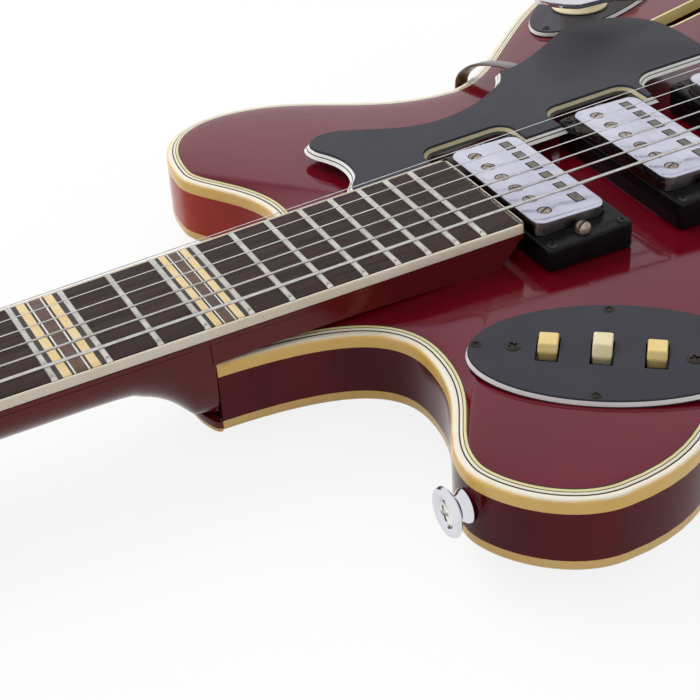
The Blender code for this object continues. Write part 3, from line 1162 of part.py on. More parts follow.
add_rims()
add_bindings()
add_centre_block()
cut_top()
add_neck()
add_fingerboard()
add_strings()
add_tuners()
add_pickups()
add_pickguard()
add_switches()
add_controls()
add_bridge()
add_vibrato()
add_strap_button("strap_button_horn", (BASS_HORN[0] - ORIGIN_X, -BASS_HORN[1], BACK_ARCH + RIM_DEPTH / 2),
                 (0, math.radians(-90), 0))
add_strap_button("strap_button_tail", (BODY_LENGTH - ORIGIN_X, 0, BACK_ARCH + BACK_THICK + STRAP_FLANGE / 2),
                 (0, math.radians(90), 0))
add_jack()
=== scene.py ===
# Semi-hollow electric guitar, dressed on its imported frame. Metres, lying on its back.
import json
import math

import bpy
from mathutils import Euler, Matrix, Vector
from mathutils.geometry import interpolate_bezier

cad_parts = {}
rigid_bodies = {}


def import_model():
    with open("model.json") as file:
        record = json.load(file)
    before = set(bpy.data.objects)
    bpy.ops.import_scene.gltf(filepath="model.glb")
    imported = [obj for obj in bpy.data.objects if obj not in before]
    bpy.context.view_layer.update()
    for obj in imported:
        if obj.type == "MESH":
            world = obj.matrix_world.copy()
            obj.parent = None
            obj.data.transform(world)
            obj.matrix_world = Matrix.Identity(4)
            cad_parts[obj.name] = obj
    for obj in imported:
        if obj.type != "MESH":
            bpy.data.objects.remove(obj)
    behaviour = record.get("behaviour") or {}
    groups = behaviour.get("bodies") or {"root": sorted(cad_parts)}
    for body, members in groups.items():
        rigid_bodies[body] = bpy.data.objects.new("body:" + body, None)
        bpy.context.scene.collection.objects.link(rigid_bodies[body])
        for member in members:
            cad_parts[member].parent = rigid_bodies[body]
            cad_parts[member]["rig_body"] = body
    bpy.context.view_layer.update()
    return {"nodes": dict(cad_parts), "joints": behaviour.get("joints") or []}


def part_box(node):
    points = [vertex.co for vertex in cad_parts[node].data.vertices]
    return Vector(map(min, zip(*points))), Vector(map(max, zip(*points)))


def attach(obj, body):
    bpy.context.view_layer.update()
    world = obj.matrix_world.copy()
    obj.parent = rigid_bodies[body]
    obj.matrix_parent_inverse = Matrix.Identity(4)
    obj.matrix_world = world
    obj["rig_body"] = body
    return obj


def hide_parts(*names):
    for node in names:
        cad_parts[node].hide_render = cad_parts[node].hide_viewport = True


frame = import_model()
nodes = frame["nodes"]
print("frame loaded:", len(nodes), "nodes")


# Shader building
def feed(tree, node, inputs):
    # each input gets a value, or a link from another node's output
    for key, value in inputs.items():
        socket = node.inputs[key]
        if isinstance(value, bpy.types.NodeSocket):
            tree.links.new(value, socket)
        else:
            socket.default_value = (*value, 1) if socket.type == "RGBA" else value


def addNode(tree, kind, inputs=None, **settings):
    node = tree.nodes.new(kind)
    for key, value in settings.items():
        setattr(node, key, value)
    feed(tree, node, inputs or {})
    return node


def objectPlace(tree):
    return addNode(tree, "ShaderNodeTexCoord").outputs["Object"]


def noise(tree, place, scale, detail, roughness=0.6, distortion=0.0):
    values = {"Vector": place, "Scale": scale, "Detail": detail, "Roughness": roughness,
              "Distortion": distortion}
    return addNode(tree, "ShaderNodeTexNoise", values).outputs["Fac"]


def toRange(tree, value, low, high, toLow=0.0, toHigh=1.0):
    values = {"Value": value, "From Min": low, "From Max": high, "To Min": toLow, "To Max": toHigh}
    return addNode(tree, "ShaderNodeMapRange", values).outputs["Result"]


def combine(tree, operation, first, second):
    return addNode(tree, "ShaderNodeMath", {0: first, 1: second}, operation=operation).outputs[0]


def mixColours(tree, amount, first, second):
    values = {"Factor": amount, 6: first, 7: second}
    return addNode(tree, "ShaderNodeMix", values, data_type="RGBA").outputs[2]


# Camera, light and room
view = {
    "eye": (-0.40654, -0.49619, 0.37046),
    "turn": (0.983798, 0.054381, -0.468479),
    "lens": 90.70,
    "sensor": 36.0,
    "near": 0.01,
}
room = {
    "floor": (0.60, 0.60, 0.60),
    "floorSeen": (0.93, 0.93, 0.93),
    "floorGlow": 0.86,
    "floorSize": 14.0,
    "sky": 0.62,
    "softBox": {"eye": (-0.7, 1.7, 1.7), "aim": (-0.1, 0.0, 0.0), "size": 1.9, "power": 40.0},
    "fillBox": {"eye": (0.9, -1.5, 1.3), "aim": (0.0, 0.0, 0.0), "size": 1.4, "power": 2.0},
}


def linked(name, data):
    # an object of the scene that holds this data
    holder = bpy.data.objects.new(name, data)
    bpy.context.scene.collection.objects.link(holder)
    return holder


def setCamera():
    lens = bpy.data.cameras.new("photoCamera")
    lens.lens = view["lens"]
    lens.sensor_width = view["sensor"]
    lens.clip_start = view["near"]
    holder = linked("photoCamera", lens)
    holder.location = view["eye"]
    holder.rotation_euler = view["turn"]
    bpy.context.scene.camera = holder


def setLamp(name, plan):
    light = bpy.data.lights.new(name, "AREA")
    light.shape = "SQUARE"
    light.size = plan["size"]
    light.energy = plan["power"]
    holder = linked(name, light)
    holder.location = plan["eye"]
    toAim = Vector(plan["aim"]) - Vector(plan["eye"])
    holder.rotation_euler = toAim.to_track_quat("-Z", "Y").to_euler()
    # its shine would whiten the frets and the board
    holder.visible_glossy = False


def seenRays(tree):
    # one for rays from the camera, from shine and through glass, else nought
    path = addNode(tree, "ShaderNodeLightPath").outputs
    seen = combine(tree, "MAXIMUM", path["Is Camera Ray"], path["Is Glossy Ray"])
    return combine(tree, "MAXIMUM", seen, path["Is Transmission Ray"])


def setRoom():
    bpy.ops.mesh.primitive_plane_add(size=room["floorSize"], location=(0, 0, 0))
    floor = bpy.context.active_object
    floor.name = "floor"
    paper = bpy.data.materials.new("paleFloor")
    paper.use_nodes = True
    tree = paper.node_tree
    seen = seenRays(tree)
    shader = tree.nodes["Principled BSDF"]
    feed(tree, shader, {"Roughness": 1.0, "Specular IOR Level": 0.0,
                        "Base Color": mixColours(tree, seen, room["floor"], room["floorSeen"])})
    white = addNode(tree, "ShaderNodeEmission")
    glow = toRange(tree, seen, 0.0, 1.0, 0.0, room["floorGlow"])
    blend = addNode(tree, "ShaderNodeMixShader", {"Fac": glow, 1: shader.outputs[0], 2: white.outputs[0]})
    feed(tree, tree.nodes["Material Output"], {"Surface": blend.outputs[0]})
    floor.data.materials.append(paper)

    sky = bpy.data.worlds.new("softSky")
    bpy.context.scene.world = sky
    sky.use_nodes = True
    tree = sky.node_tree
    strength = toRange(tree, seenRays(tree), 0.0, 1.0, room["sky"], 1.0)
    feed(tree, tree.nodes["Background"], {"Color": (1, 1, 1), "Strength": strength})
    for name in ("softBox", "fillBox"):
        setLamp(name, room[name])
    bpy.context.scene.view_settings.view_transform = "Standard"


setCamera()
setRoom()
print("camera, lamps and floor are set")


# Shader groups that several finishes share
def newGroup(name, inputs, outputs):
    # inputs and outputs list their sockets by kind
    group = bpy.data.node_groups.new(name, "ShaderNodeTree")
    for side, sockets in (("INPUT", inputs), ("OUTPUT", outputs)):
        for kind, labels in sockets.items():
            for label in labels:
                group.interface.new_socket(label, in_out=side, socket_type="NodeSocket" + kind)
    return group, group.nodes.new("NodeGroupInput").outputs, group.nodes.new("NodeGroupOutput")


def stretched(tree, place, run):
    return addNode(tree, "ShaderNodeVectorMath", {0: place, 1: run}, operation="MULTIPLY").outputs[0]


def makeToneGroup():
    # drifts between two colours in long or round patches
    group, start, end = newGroup("tone drift", {"Color": ("Main", "Other"), "Float": ("Size", "Amount"),
                                                "Vector": ("Run",)}, {"Color": ("Colour",)})
    place = stretched(group, objectPlace(group), start["Run"])
    patch = noise(group, place, start["Size"], 6.0, 0.62)
    amount = combine(group, "MULTIPLY", toRange(group, patch, 0.36, 0.68), start["Amount"])
    feed(group, end, {"Colour": mixColours(group, amount, start["Main"], start["Other"])})
    return group


def makeWearGroup():
    # smears in the polish, and a height for dust, dents and fine scratches
    group, start, end = newGroup("handling wear", {"Float": ("Polished", "Worn", "Size", "Scratches")},
                                 {"Float": ("Roughness", "Height")})
    place = objectPlace(group)
    smear = noise(group, place, start["Size"], 5.0, 0.6, 0.4)
    fine = noise(group, place, combine(group, "MULTIPLY", start["Size"], 9.0), 3.0)
    span = combine(group, "SUBTRACT", start["Worn"], start["Polished"])
    worn = combine(group, "MULTIPLY", toRange(group, smear, 0.4, 0.75), span)
    lines = addNode(group, "ShaderNodeTexVoronoi", {
        "Vector": stretched(group, place, (1.0, 0.28, 1.0)),
        "Scale": combine(group, "MULTIPLY", start["Size"], 1.6)}, feature="DISTANCE_TO_EDGE")
    scratch = toRange(group, lines.outputs["Distance"], 0.0, 0.014, 1.0, 0.0)
    scratch = combine(group, "MULTIPLY", scratch, start["Scratches"])
    dust = combine(group, "MULTIPLY", fine, 0.35)
    feed(group, end, {"Roughness": combine(group, "ADD", start["Polished"], worn),
                      "Height": combine(group, "SUBTRACT", dust, scratch)})
    return group


def makeGrainGroup():
    # open-pored wood, its streaks along X
    group, start, end = newGroup(
        "wood grain", {"Color": ("Main", "Other"), "Float": ("Size",), "Vector": ("Run",)},
        {"Color": ("Colour",), "Float": ("Height",)})
    place = stretched(group, objectPlace(group), start["Run"])
    streaks = noise(group, place, start["Size"], 8.0, 0.7, 0.3)
    broad = noise(group, place, combine(group, "MULTIPLY", start["Size"], 0.22), 3.0)
    pores = noise(group, place, combine(group, "MULTIPLY", start["Size"], 3.0), 2.0)
    shares = [combine(group, "MULTIPLY", toRange(group, layer, 0.4, 0.6), share)
              for layer, share in ((streaks, 0.65), (broad, 0.35))]
    blend = combine(group, "ADD", *shares)
    feed(group, end, {"Colour": mixColours(group, blend, start["Main"], start["Other"]),
                      "Height": toRange(group, pores, 0.45, 0.6)})
    return group


toneGroup, wearGroup, grainGroup = makeToneGroup(), makeWearGroup(), makeGrainGroup()


# Every finish: its two colours and the size of their patches, its roughness where polished and where
# worn, the size of the smears, how scratched it is, how deep its surface is, and what only some have.
finishes = {
    "cherryTop": ((0.14, 0.002, 0.009), (0.1, 0.001, 0.006), 14, (0.08, 0.17), 16, 0.8, 3e-5, {
        "run": (0.5, 1, 1), "shine": 0.5, "tint": (0.88, 0.66, 0.9)}),
    # cherrySide's band along Y paints the far side brighter red: painted light on the rim and back
    "cherrySide": ((0.11, 0.005, 0.009), (0.048, 0.002, 0.005), 26, (0.1, 0.2), 24, 0.6, 3e-5, {
        "run": (1, 1, 0.4), "shine": 0.16, "tint": (1, 0.8, 0.9),
        "paintedLight": ("Y", 0.03, 0.1, (0.42, 0.038, 0.018), 0.01)}),
    "cherryNeck": ((0.085, 0.005, 0.006), (0.2, 0.014, 0.01), 16, (0.12, 0.26), 30, 0.5, 3e-5, {
        "run": (0.5, 1, 1), "shine": 0.3, "tint": (1, 0.8, 0.85), "amount": 0.45}),
    # bindingTop's band along Z turns the binding's rounded top edge white: a painted highlight
    "bindingTop": ((0.84, 0.56, 0.17), (0.76, 0.45, 0.11), 45, (0.16, 0.32), 140, 0.6, 3e-5, {
        "shine": 0.35, "paintedLight": ("Z", 0.0377, 0.0384, (0.88, 0.83, 0.7), 0.0003)}),
    "bindingSide": ((0.8, 0.55, 0.2), (0.7, 0.42, 0.12), 45, (0.16, 0.34), 140, 0.8, 4e-5, {"shine": 0.35}),
    "boardBinding": ((0.84, 0.78, 0.66), (0.74, 0.64, 0.46), 38, (0.2, 0.4), 90, 0.5, 3e-5, {}),
    "plyWhite": ((0.84, 0.8, 0.66), (0.76, 0.7, 0.5), 60, (0.1, 0.25), 160, 0.3, 2e-5, {"coat": 0.3}),
    "plyCream": ((0.8, 0.68, 0.34), (0.7, 0.56, 0.24), 60, (0.1, 0.25), 160, 0.3, 2e-5, {"coat": 0.5}),
    "plyBlack": ((0.016, 0.02, 0.014), (0.05, 0.05, 0.028), 80, (0.1, 0.2), 160, 0.3, 2e-5, {"shine": 0.3}),
    # a dim ply tone, painted shade for the plies of two notches in the pickups' shade
    "plyAged": ((0.52, 0.47, 0.3), (0.42, 0.36, 0.2), 90, (0.25, 0.4), 200, 0.5, 3e-5, {}),
    "guardWhite": ((0.86, 0.86, 0.84), (0.78, 0.77, 0.72), 60, (0.1, 0.25), 160, 0.3, 2e-5, {"coat": 0.3}),
    "inlayCream": ((0.8, 0.58, 0.26), (0.86, 0.72, 0.44), 150, (0.2, 0.35), 120, 0.5, 3e-5, {}),
    "inlayWhite": ((0.84, 0.83, 0.78), (0.7, 0.66, 0.55), 120, (0.2, 0.35), 120, 0.3, 2e-5, {}),
    "inlayBlack": ((0.014, 0.012, 0.012), (0.03, 0.024, 0.022), 120, (0.25, 0.4), 120, 0.3, 2e-5, {}),
    "fretWire": ((0.66, 0.64, 0.6), (0.46, 0.44, 0.4), 200, (0.22, 0.4), 200, 0.3, 1e-5, {"metal": 1}),
    "chromePlate": ((0.74, 0.74, 0.79), (0.6, 0.6, 0.66), 60, (0.08, 0.2), 90, 0.4, 2e-5, {"metal": 1}),
    # dark nickel: the bracket's aged metal, and painted shade on the pickup covers' side walls
    "agedNickel": ((0.22, 0.2, 0.2), (0.1, 0.085, 0.08), 90, (0.22, 0.4), 120, 0.6, 3e-5, {"metal": 1}),
    "coverMetal": ((0.64, 0.64, 0.75), (0.42, 0.42, 0.54), 34, (0.11, 0.3), 60, 0.25, 2e-5, {
        "run": (1, 0.5, 1), "metal": 1}),
    "brightMetal": ((0.82, 0.81, 0.79), (0.6, 0.57, 0.52), 120, (0.06, 0.2), 150, 0.5, 2e-5, {"metal": 1}),
    "rustyScrew": ((0.42, 0.37, 0.33), (0.18, 0.12, 0.09), 500, (0.3, 0.5), 500, 0.5, 3e-5, {"metal": 0.85}),
    "darkScrew": ((0.05, 0.042, 0.036), (0.022, 0.017, 0.014), 500, (0.3, 0.5), 500, 0.5, 3e-5, {
        "metal": 0.8}),
    "poleSteel": ((0.22, 0.205, 0.18), (0.09, 0.08, 0.07), 400, (0.3, 0.5), 400, 0.4, 2e-5, {"metal": 1}),
    "stringSteel": ((0.72, 0.72, 0.73), (0.5, 0.49, 0.48), 300, (0.16, 0.3), 300, 0.3, 2e-5, {"metal": 1}),
    "blackPlastic": ((0.034, 0.034, 0.044), (0.04, 0.04, 0.05), 60, (0.34, 0.46), 70, 0.3, 1e-5, {
        "shine": 0.16, "tint": (0.9, 0.9, 1)}),
    "ringPlastic": ((0.003, 0.003, 0.004), (0.007, 0.007, 0.009), 120, (0.1, 0.24), 120, 0.8, 4e-5, {
        "shine": 0.13}),
    "whitePlastic": ((0.84, 0.84, 0.84), (0.74, 0.73, 0.68), 80, (0.14, 0.3), 120, 0.5, 3e-5, {}),
    "creamPlastic": ((0.86, 0.66, 0.27), (0.78, 0.55, 0.19), 110, (0.2, 0.36), 160, 0.7, 4e-5, {}),
    "palePlastic": ((0.84, 0.76, 0.5), (0.78, 0.64, 0.36), 110, (0.2, 0.36), 160, 0.7, 4e-5, {}),
    "phenolicBoard": ((0.03, 0.02, 0.014), (0.018, 0.012, 0.008), 200, (0.4, 0.6), 160, 0.5, 4e-5, {}),
    "boardWood": ((0.052, 0.032, 0.029), (0.02, 0.011, 0.01), 420, (0.38, 0.55), 90, 0.2, 3e-5, {
        "run": (0.05, 1, 1), "wood": True, "shine": 0.12}),
    "inlayWood": ((0.13, 0.065, 0.045), (0.06, 0.03, 0.022), 300, (0.3, 0.5), 90, 0.3, 6e-5, {
        "run": (0.05, 1, 1), "wood": True}),
    "woundString": ((0.62, 0.61, 0.6), (0.42, 0.41, 0.39), 300, (0.2, 0.34), 300, 0.2, 6e-5, {
        "metal": 1, "winding": 700}),
    "blockSpruce": ((0.62, 0.45, 0.26), (0.46, 0.3, 0.15), 160, (0.6, 0.8), 60, 0.2, 8e-5, {
        "run": (0.04, 1, 1), "wood": True}),
}


def paintedLightBand(tree, plan, colour):
    # goes over to another colour along one axis, its border a little uneven; this band is painted light, a
    # lighter colour where light falls
    axis, low, high, other, uneven = plan
    place = objectPlace(tree)
    split = addNode(tree, "ShaderNodeSeparateXYZ", {0: place})
    drift = toRange(tree, noise(tree, place, 60.0, 4.0), 0.3, 0.7, -uneven, uneven)
    where = combine(tree, "ADD", split.outputs[axis], drift)
    return mixColours(tree, toRange(tree, where, low, high), colour, other)


def finish(name):
    found = bpy.data.materials.get(name)
    if found:
        return found
    main, other, size, (clean, dull), wearSize, scratches, depth, more = finishes[name]
    wood = "wood" in more
    made = bpy.data.materials.new(name)
    made.use_nodes = True
    tree = made.node_tree
    tone = addNode(tree, "ShaderNodeGroup", {
        "Main": main, "Other": other, "Size": size, "Run": more.get("run", (1, 1, 1))},
        node_tree=grainGroup if wood else toneGroup)
    handled = addNode(tree, "ShaderNodeGroup", {
        "Polished": clean, "Worn": dull, "Size": wearSize, "Scratches": scratches}, node_tree=wearGroup)
    height = handled.outputs["Height"]
    if wood:
        height = combine(tree, "SUBTRACT", height, tone.outputs["Height"])
    else:
        feed(tree, tone, {"Amount": more.get("amount", 0.8)})
    if "winding" in more:
        # the turns of a wound string, along its length
        turns = addNode(tree, "ShaderNodeTexWave", {"Scale": more["winding"], "Vector": objectPlace(tree)},
                        bands_direction="X")
        height = combine(tree, "ADD", height, turns.outputs["Fac"])
    colour = tone.outputs["Colour"]
    # a band of painted light, for the finishes that have one
    if "paintedLight" in more:
        colour = paintedLightBand(tree, more["paintedLight"], colour)
    bump = addNode(tree, "ShaderNodeBump", {"Strength": 1.0, "Distance": depth, "Height": height})
    feed(tree, tree.nodes["Principled BSDF"], {
        "Base Color": colour, "Normal": bump.outputs["Normal"], "Roughness": handled.outputs["Roughness"],
        "Metallic": more.get("metal", 0.0), "Coat Weight": more.get("coat", 0.0), "Coat Roughness": clean,
        "Specular IOR Level": more.get("shine", 0.5), "Specular Tint": more.get("tint", (1, 1, 1))})
    return made


print("finishes described:", len(finishes))


# Modelling helpers
def pick(obj):
    bpy.ops.object.select_all(action="DESELECT")
    obj.select_set(True)
    bpy.context.view_layer.objects.active = obj
    return obj


def newPiece(name, verts, edges=(), faces=()):
    mesh = bpy.data.meshes.new(name)
    mesh.from_pydata([tuple(v) for v in verts], list(edges), list(faces))
    return pick(linked(name, mesh))


def named(name):
    # the piece just added or joined
    obj = bpy.context.active_object
    obj.name = name
    obj.data.name = name
    return obj


def settle(obj, matrix=None):
    # the piece's place moved into its mesh
    pick(obj)
    bpy.ops.object.transform_apply(location=True, rotation=True, scale=True)
    if matrix is not None:
        obj.data.transform(matrix)
    return obj


def edit(obj, *steps):
    # edit steps on the whole mesh, each an operator with its options
    pick(obj)
    bpy.ops.object.mode_set(mode="EDIT")
    bpy.ops.mesh.select_all(action="SELECT")
    for step, options in steps:
        step(**options)
    bpy.ops.object.mode_set(mode="OBJECT")
    return obj


def facesOut(obj):
    return edit(obj, (bpy.ops.mesh.remove_doubles, {"threshold": 0.000002}),
                (bpy.ops.mesh.normals_make_consistent, {"inside": False}))


def modify(obj, kind, **settings):
    step = obj.modifiers.new(kind, kind)
    for key, value in settings.items():
        setattr(step, key, value)
    pick(obj)
    bpy.ops.object.modifier_apply(modifier=step.name)
    return obj


def soften(obj, width, segments=2, angle=40):
    return modify(obj, "BEVEL", width=width, segments=segments, limit_method="ANGLE",
                  angle_limit=math.radians(angle))


def carve(obj, cutter):
    modify(obj, "BOOLEAN", operation="DIFFERENCE", solver="EXACT", object=cutter)
    bpy.data.objects.remove(cutter)
    return obj


def smooth(obj, angle):
    pick(obj)
    bpy.ops.object.shade_smooth_by_angle(angle=math.radians(angle))
    return obj


def wear(obj, *looks):
    # clearing an empty list would still set every face's material number to nought
    if len(obj.data.materials):
        obj.data.materials.clear()
    for look in looks:
        obj.data.materials.append(finish(look))
    return obj


def block(name, size, place=(0, 0, 0), turn=0, matrix=None):
    # a box, turned round Z
    bpy.ops.mesh.primitive_cube_add(size=1, location=place, rotation=(0, 0, math.radians(turn)), scale=size)
    return settle(named(name), matrix)


def pin(name, radius, depth, sides, place=(0, 0, 0), turn=0, matrix=None):
    # a cylinder, turned round X
    bpy.ops.mesh.primitive_cylinder_add(vertices=sides, radius=radius, depth=depth, location=place,
                                        rotation=(math.radians(turn), 0, 0))
    return settle(named(name), matrix)


def copyPiece(source, name, matrix):
    mesh = source.data.copy()
    mesh.name = name
    mesh.transform(matrix)
    return linked(name, mesh)


def joined(pieces, name):
    pick(pieces[0])
    for piece in pieces:
        piece.select_set(True)
    bpy.ops.object.join()
    return named(name)


def mount(obj, rider="guitar", stands=()):
    # hides the nodes that it stands for, and sets the body that it rides on
    if stands:
        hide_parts(*stands)
    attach(obj, rider)
    return obj


def dress(obj, look, angle=None, place=None, rider="guitar", stands=()):
    if angle is not None:
        smooth(obj, angle)
    if look:
        wear(obj, *((look,) if isinstance(look, str) else look))
    if place is not None:
        settle(obj, place)
    return mount(obj, rider, stands)


def polished(node, look, angle=38, edge=0.0):
    # a cleaned copy of a CAD node, with smooth shading and softened edges
    source = nodes[node]
    obj = linked(node + "_dressed", source.data.copy())
    edit(obj, (bpy.ops.mesh.remove_doubles, {"threshold": 0.00001}),
         (bpy.ops.mesh.tris_convert_to_quads, {"face_threshold": math.radians(1),
                                               "shape_threshold": math.radians(180)}))
    if edge:
        soften(obj, edge)
    return dress(obj, look, angle, rider=source["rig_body"], stands=(node,))


def slab(name, outline, low, high):
    # a flat plate, extruded from its outline
    obj = newPiece(name, [(x, y, low) for x, y in outline], faces=[range(len(outline))])
    edit(obj, (bpy.ops.mesh.extrude_region_move, {"TRANSFORM_OT_translate": {"value": (0, 0, high - low)}}))
    return facesOut(obj)


def spun(name, profile, sides):
    # a turned piece: its half profile as (radius, height), spun round Z
    obj = newPiece(name, [(r, 0, z) for r, z in profile], edges=[(i, i + 1) for i in range(len(profile) - 1)])
    edit(obj, (bpy.ops.mesh.spin, {"steps": sides, "angle": 2 * math.pi, "center": (0, 0, 0),
                                   "axis": (0, 0, 1)}))
    return facesOut(obj)


def loft(name, rings, closedRound=True, ends=True, bands=None):
    # skins rings of points; bands gives each row of faces its material's number
    count, last = len(rings[0]), len(rings) - 1
    bands = bands or [0] * last
    faces, number = [], []
    for row in range(last):
        for i in range(count if closedRound else count - 1):
            j = (i + 1) % count
            faces.append((row * count + i, row * count + j, (row + 1) * count + j, (row + 1) * count + i))
            number.append(bands[row])
    if ends:
        faces += [range(count), range(last * count, (last + 1) * count)]
        number += [bands[0], bands[-1]]
    obj = newPiece(name, [p for ring in rings for p in ring], faces=faces)
    for face, which in zip(obj.data.polygons, number):
        face.material_index = which
    return edit(obj, (bpy.ops.mesh.normals_make_consistent, {"inside": False}))


def curveThrough(points, steps):
    # a smooth line through every point
    points = [Vector(p).to_3d() for p in points]
    line = []
    for i in range(len(points) - 1):
        before, after = points[max(i - 1, 0)], points[min(i + 2, len(points) - 1)]
        first, last = points[i], points[i + 1]
        line += interpolate_bezier(first, first + (last - before) / 6, last - (after - first) / 6, last,
                                   steps + 1)[:-1]
    return line + [points[-1]]


def arc(centre, radius, start, end, steps):
    angles = [math.radians(start + (end - start) * i / steps) for i in range(steps + 1)]
    return [(centre[0] + radius * math.cos(a), centre[1] + radius * math.sin(a)) for a in angles]


def roundBox(halfX, halfY, radius, steps=6):
    x, y = halfX - radius, halfY - radius
    return (arc((x, y), radius, 0, 90, steps) + arc((-x, y), radius, 90, 180, steps)
            + arc((-x, -y), radius, 180, 270, steps) + arc((x, -y), radius, 270, 360, steps))


def ringLine(radii, stretch=(1, 1)):
    # a closed line round the origin, one point for each radius
    angles = [2 * math.pi * i / len(radii) for i in range(len(radii))]
    return [(stretch[0] * r * math.cos(a), stretch[1] * r * math.sin(a)) for r, a in zip(radii, angles)]


def moveIn(points, distance, closed=True):
    # an anticlockwise outline moved inwards, its corners mitred
    moved = []
    for i, point in enumerate(points):
        here = Vector(point)
        steps = []
        if closed or i > 0:
            steps.append(here - Vector(points[i - 1]))
        if closed or i < len(points) - 1:
            steps.append(Vector(points[(i + 1) % len(points)]) - here)
        normals = [Vector((-step.y, step.x)).normalized() for step in steps]
        way = sum(normals, Vector((0, 0))).normalized()
        moved.append(tuple(here + way * (distance / way.dot(normals[0]))))
    return moved


def at(x, y, z):
    return Matrix.Translation((x, y, z))


# Body
body = {
    "length": 0.480,
    "tongue": 0.027,
    "treble": {"reach": 0.0359, "cutaway": (0.0605, 0.0586), "cutawayReach": (0.0249, 0.0233),
               "horn": (0.0407, 0.1076), "hornReach": (0.0132, 0.0353),
               "upper": (0.0779, 0.1520), "upperReach": (0.0159, 0.0402)},
    "bass": {"reach": 0.0430, "cutaway": (0.0634, 0.0582), "cutawayReach": (0.0215, 0.0325),
             "horn": (0.0433, 0.1202), "hornReach": (0.0217, 0.0117),
             "upper": (0.0802, 0.1550), "upperReach": (0.0214, 0.0475)},
    "waist": (0.1708, 0.1175),
    "waistReach": (0.0400, 0.0310),
    "lower": (0.330, 0.206),
    "lowerReach": (0.0878, 0.083),
    "tailReach": 0.110,
    "steps": (16, 18, 18, 16, 24, 34),
    "backZ": 0.011,
    "topZ": 0.0385,
    "topArch": 0.004,
    "backArch": 0.011,
    "topThick": 0.005,
    "backThick": 0.0042,
    "rimThick": 0.0035,
    "archShare": 0.6,
    "spine": (-0.110, 0.090),
    "binding": 0.0026,
    "plies": ((0.0004, 1), (0.00085, 2), (0.0003, 1), (0.00085, 3), (0.00045, 1)),
    "backPlies": ((0.0006, 1), (0.0008, 2)),
    "ringSteps": {"top": 16, "back": 12, "inside": 6},
    "endInset": 0.0003,
    "capSeam": 0.0013,
    "lip": 0.0009,
    "lipReach": 0.003,
    "bindingRound": 0.0016,
}


def sideLine(side):
    plan = body[side]
    wx, wy = body["waist"]
    lx, ly = body["lower"]
    cut, horn, upper = plan["cutaway"], plan["horn"], plan["upper"]
    stops = (
        ((0, body["tongue"]), (plan["reach"], body["tongue"]), (cut[0], cut[1] - plan["cutawayReach"][0])),
        (cut, (cut[0], cut[1] + plan["cutawayReach"][1]), (horn[0], horn[1] - plan["hornReach"][0])),
        (horn, (horn[0], horn[1] + plan["hornReach"][1]), (upper[0] - plan["upperReach"][0], upper[1])),
        (upper, (upper[0] + plan["upperReach"][1], upper[1]), (wx - body["waistReach"][0], wy)),
        ((wx, wy), (wx + body["waistReach"][1], wy), (lx - body["lowerReach"][0], ly)),
        ((lx, ly), (lx + body["lowerReach"][1], ly), (body["length"], body["tailReach"])),
        ((body["length"], 0), None, None))
    line = []
    for (start, out, into), (end, _, _), steps in zip(stops, stops[1:], body["steps"]):
        curve = interpolate_bezier(Vector(start).to_3d(), Vector(out).to_3d(), Vector(into).to_3d(),
                                   Vector(end).to_3d(), steps + 1)
        line += [(p.x - body["length"] / 2, p.y) for p in curve[:-1]]
    return line + [(body["length"] / 2, 0.0)]


trebleSide = sideLine("treble")
bassSide = [(x, -y) for x, y in sideLine("bass")]
around = bassSide + trebleSide[-2::-1]
heelX = -body["length"] / 2


def edgeLine(distance):
    # the outline moved in, its two ends kept on the heel's face
    line = moveIn(around, distance, closed=False)
    line[0] = (heelX + body["endInset"], line[0][1])
    line[-1] = (heelX + body["endInset"], line[-1][1])
    return line


def archedRings(plies, edgeLevel, rise, steps, lip=0.0):
    # ply rings follow the edge, and the rest shrink towards the middle while they rise
    low, high = body["spine"]
    share = body["archShare"]
    edge = edgeLine(body["binding"])
    spine = [Vector((min(max(x, low), high), 0)) for x, _ in edge]
    lengths = [(s - Vector(e)).length for e, s in zip(edge, spine)]

    def level(t, length):
        # steeper over the first millimetres, then the broad arch
        start = lip * (1 - math.exp(-t * length / body["lipReach"]))
        return edgeLevel + start + (rise - lip) * (1 - max(0.0, 1 - t / share) ** 2)

    rings = [[(x, y, edgeLevel) for x, y in edge]]
    reach = 0.0
    for width, _ in plies:
        reach += width
        line = edgeLine(body["binding"] + reach)
        rings.append([(x, y, level(reach / length, length)) for (x, y), length in zip(line, lengths)])
    last = [Vector(p[:2]) for p in rings[-1]]
    starts = [reach / length for length in lengths]
    for step in range(1, steps + 1):
        ring = []
        for point, s, begun, length in zip(last, spine, starts, lengths):
            t = begun + (share - begun) * (step / steps) ** 1.5
            place = point.lerp(s, (t - begun) / (1 - begun))
            ring.append((place.x, place.y, level(t, length)))
        rings.append(ring)
    return rings


soundHole = {
    "at": (0.078, 0.128),
    "length": 0.122,
    "turn": 19.5,
    "stem": 0.0068,
    "eye": 0.0085,
    "lining": 0.0011,
    "proud": 0.0001,
    "below": 0.0004,
    "cutDepth": 0.02,
}


def soundHoleLine(side):
    half, stem, eye = soundHole["length"] / 2, soundHole["stem"], soundHole["eye"]
    upper = [(-half + 2.4 * eye, stem * 1.3), (0, stem), (half - 3.2 * eye, stem * 0.7),
             (half - 1.2 * eye, stem * 0.2)]
    right = arc((half - eye, -eye * 0.9), eye, 80, -150, 20)
    lower = [(half - 2.4 * eye, -stem * 1.3), (0, -stem), (-half + 3.2 * eye, -stem * 0.7),
             (-half + 1.2 * eye, -stem * 0.2)]
    left = arc((-half + eye, eye * 0.9), eye, 260, 30, 20)
    turn = Matrix.Rotation(math.radians(soundHole["turn"]), 2)
    line = [turn @ Vector(p) + Vector(soundHole["at"]) for p in upper + right + lower + left]
    return [(p.x, p.y * side) for p in line][::-side]


def topAt(x, y):
    # the height of the body's top there
    return bpy.data.objects["bodyTop"].ray_cast(Vector((x, y, 1)), Vector((0, 0, -1)))[1].z


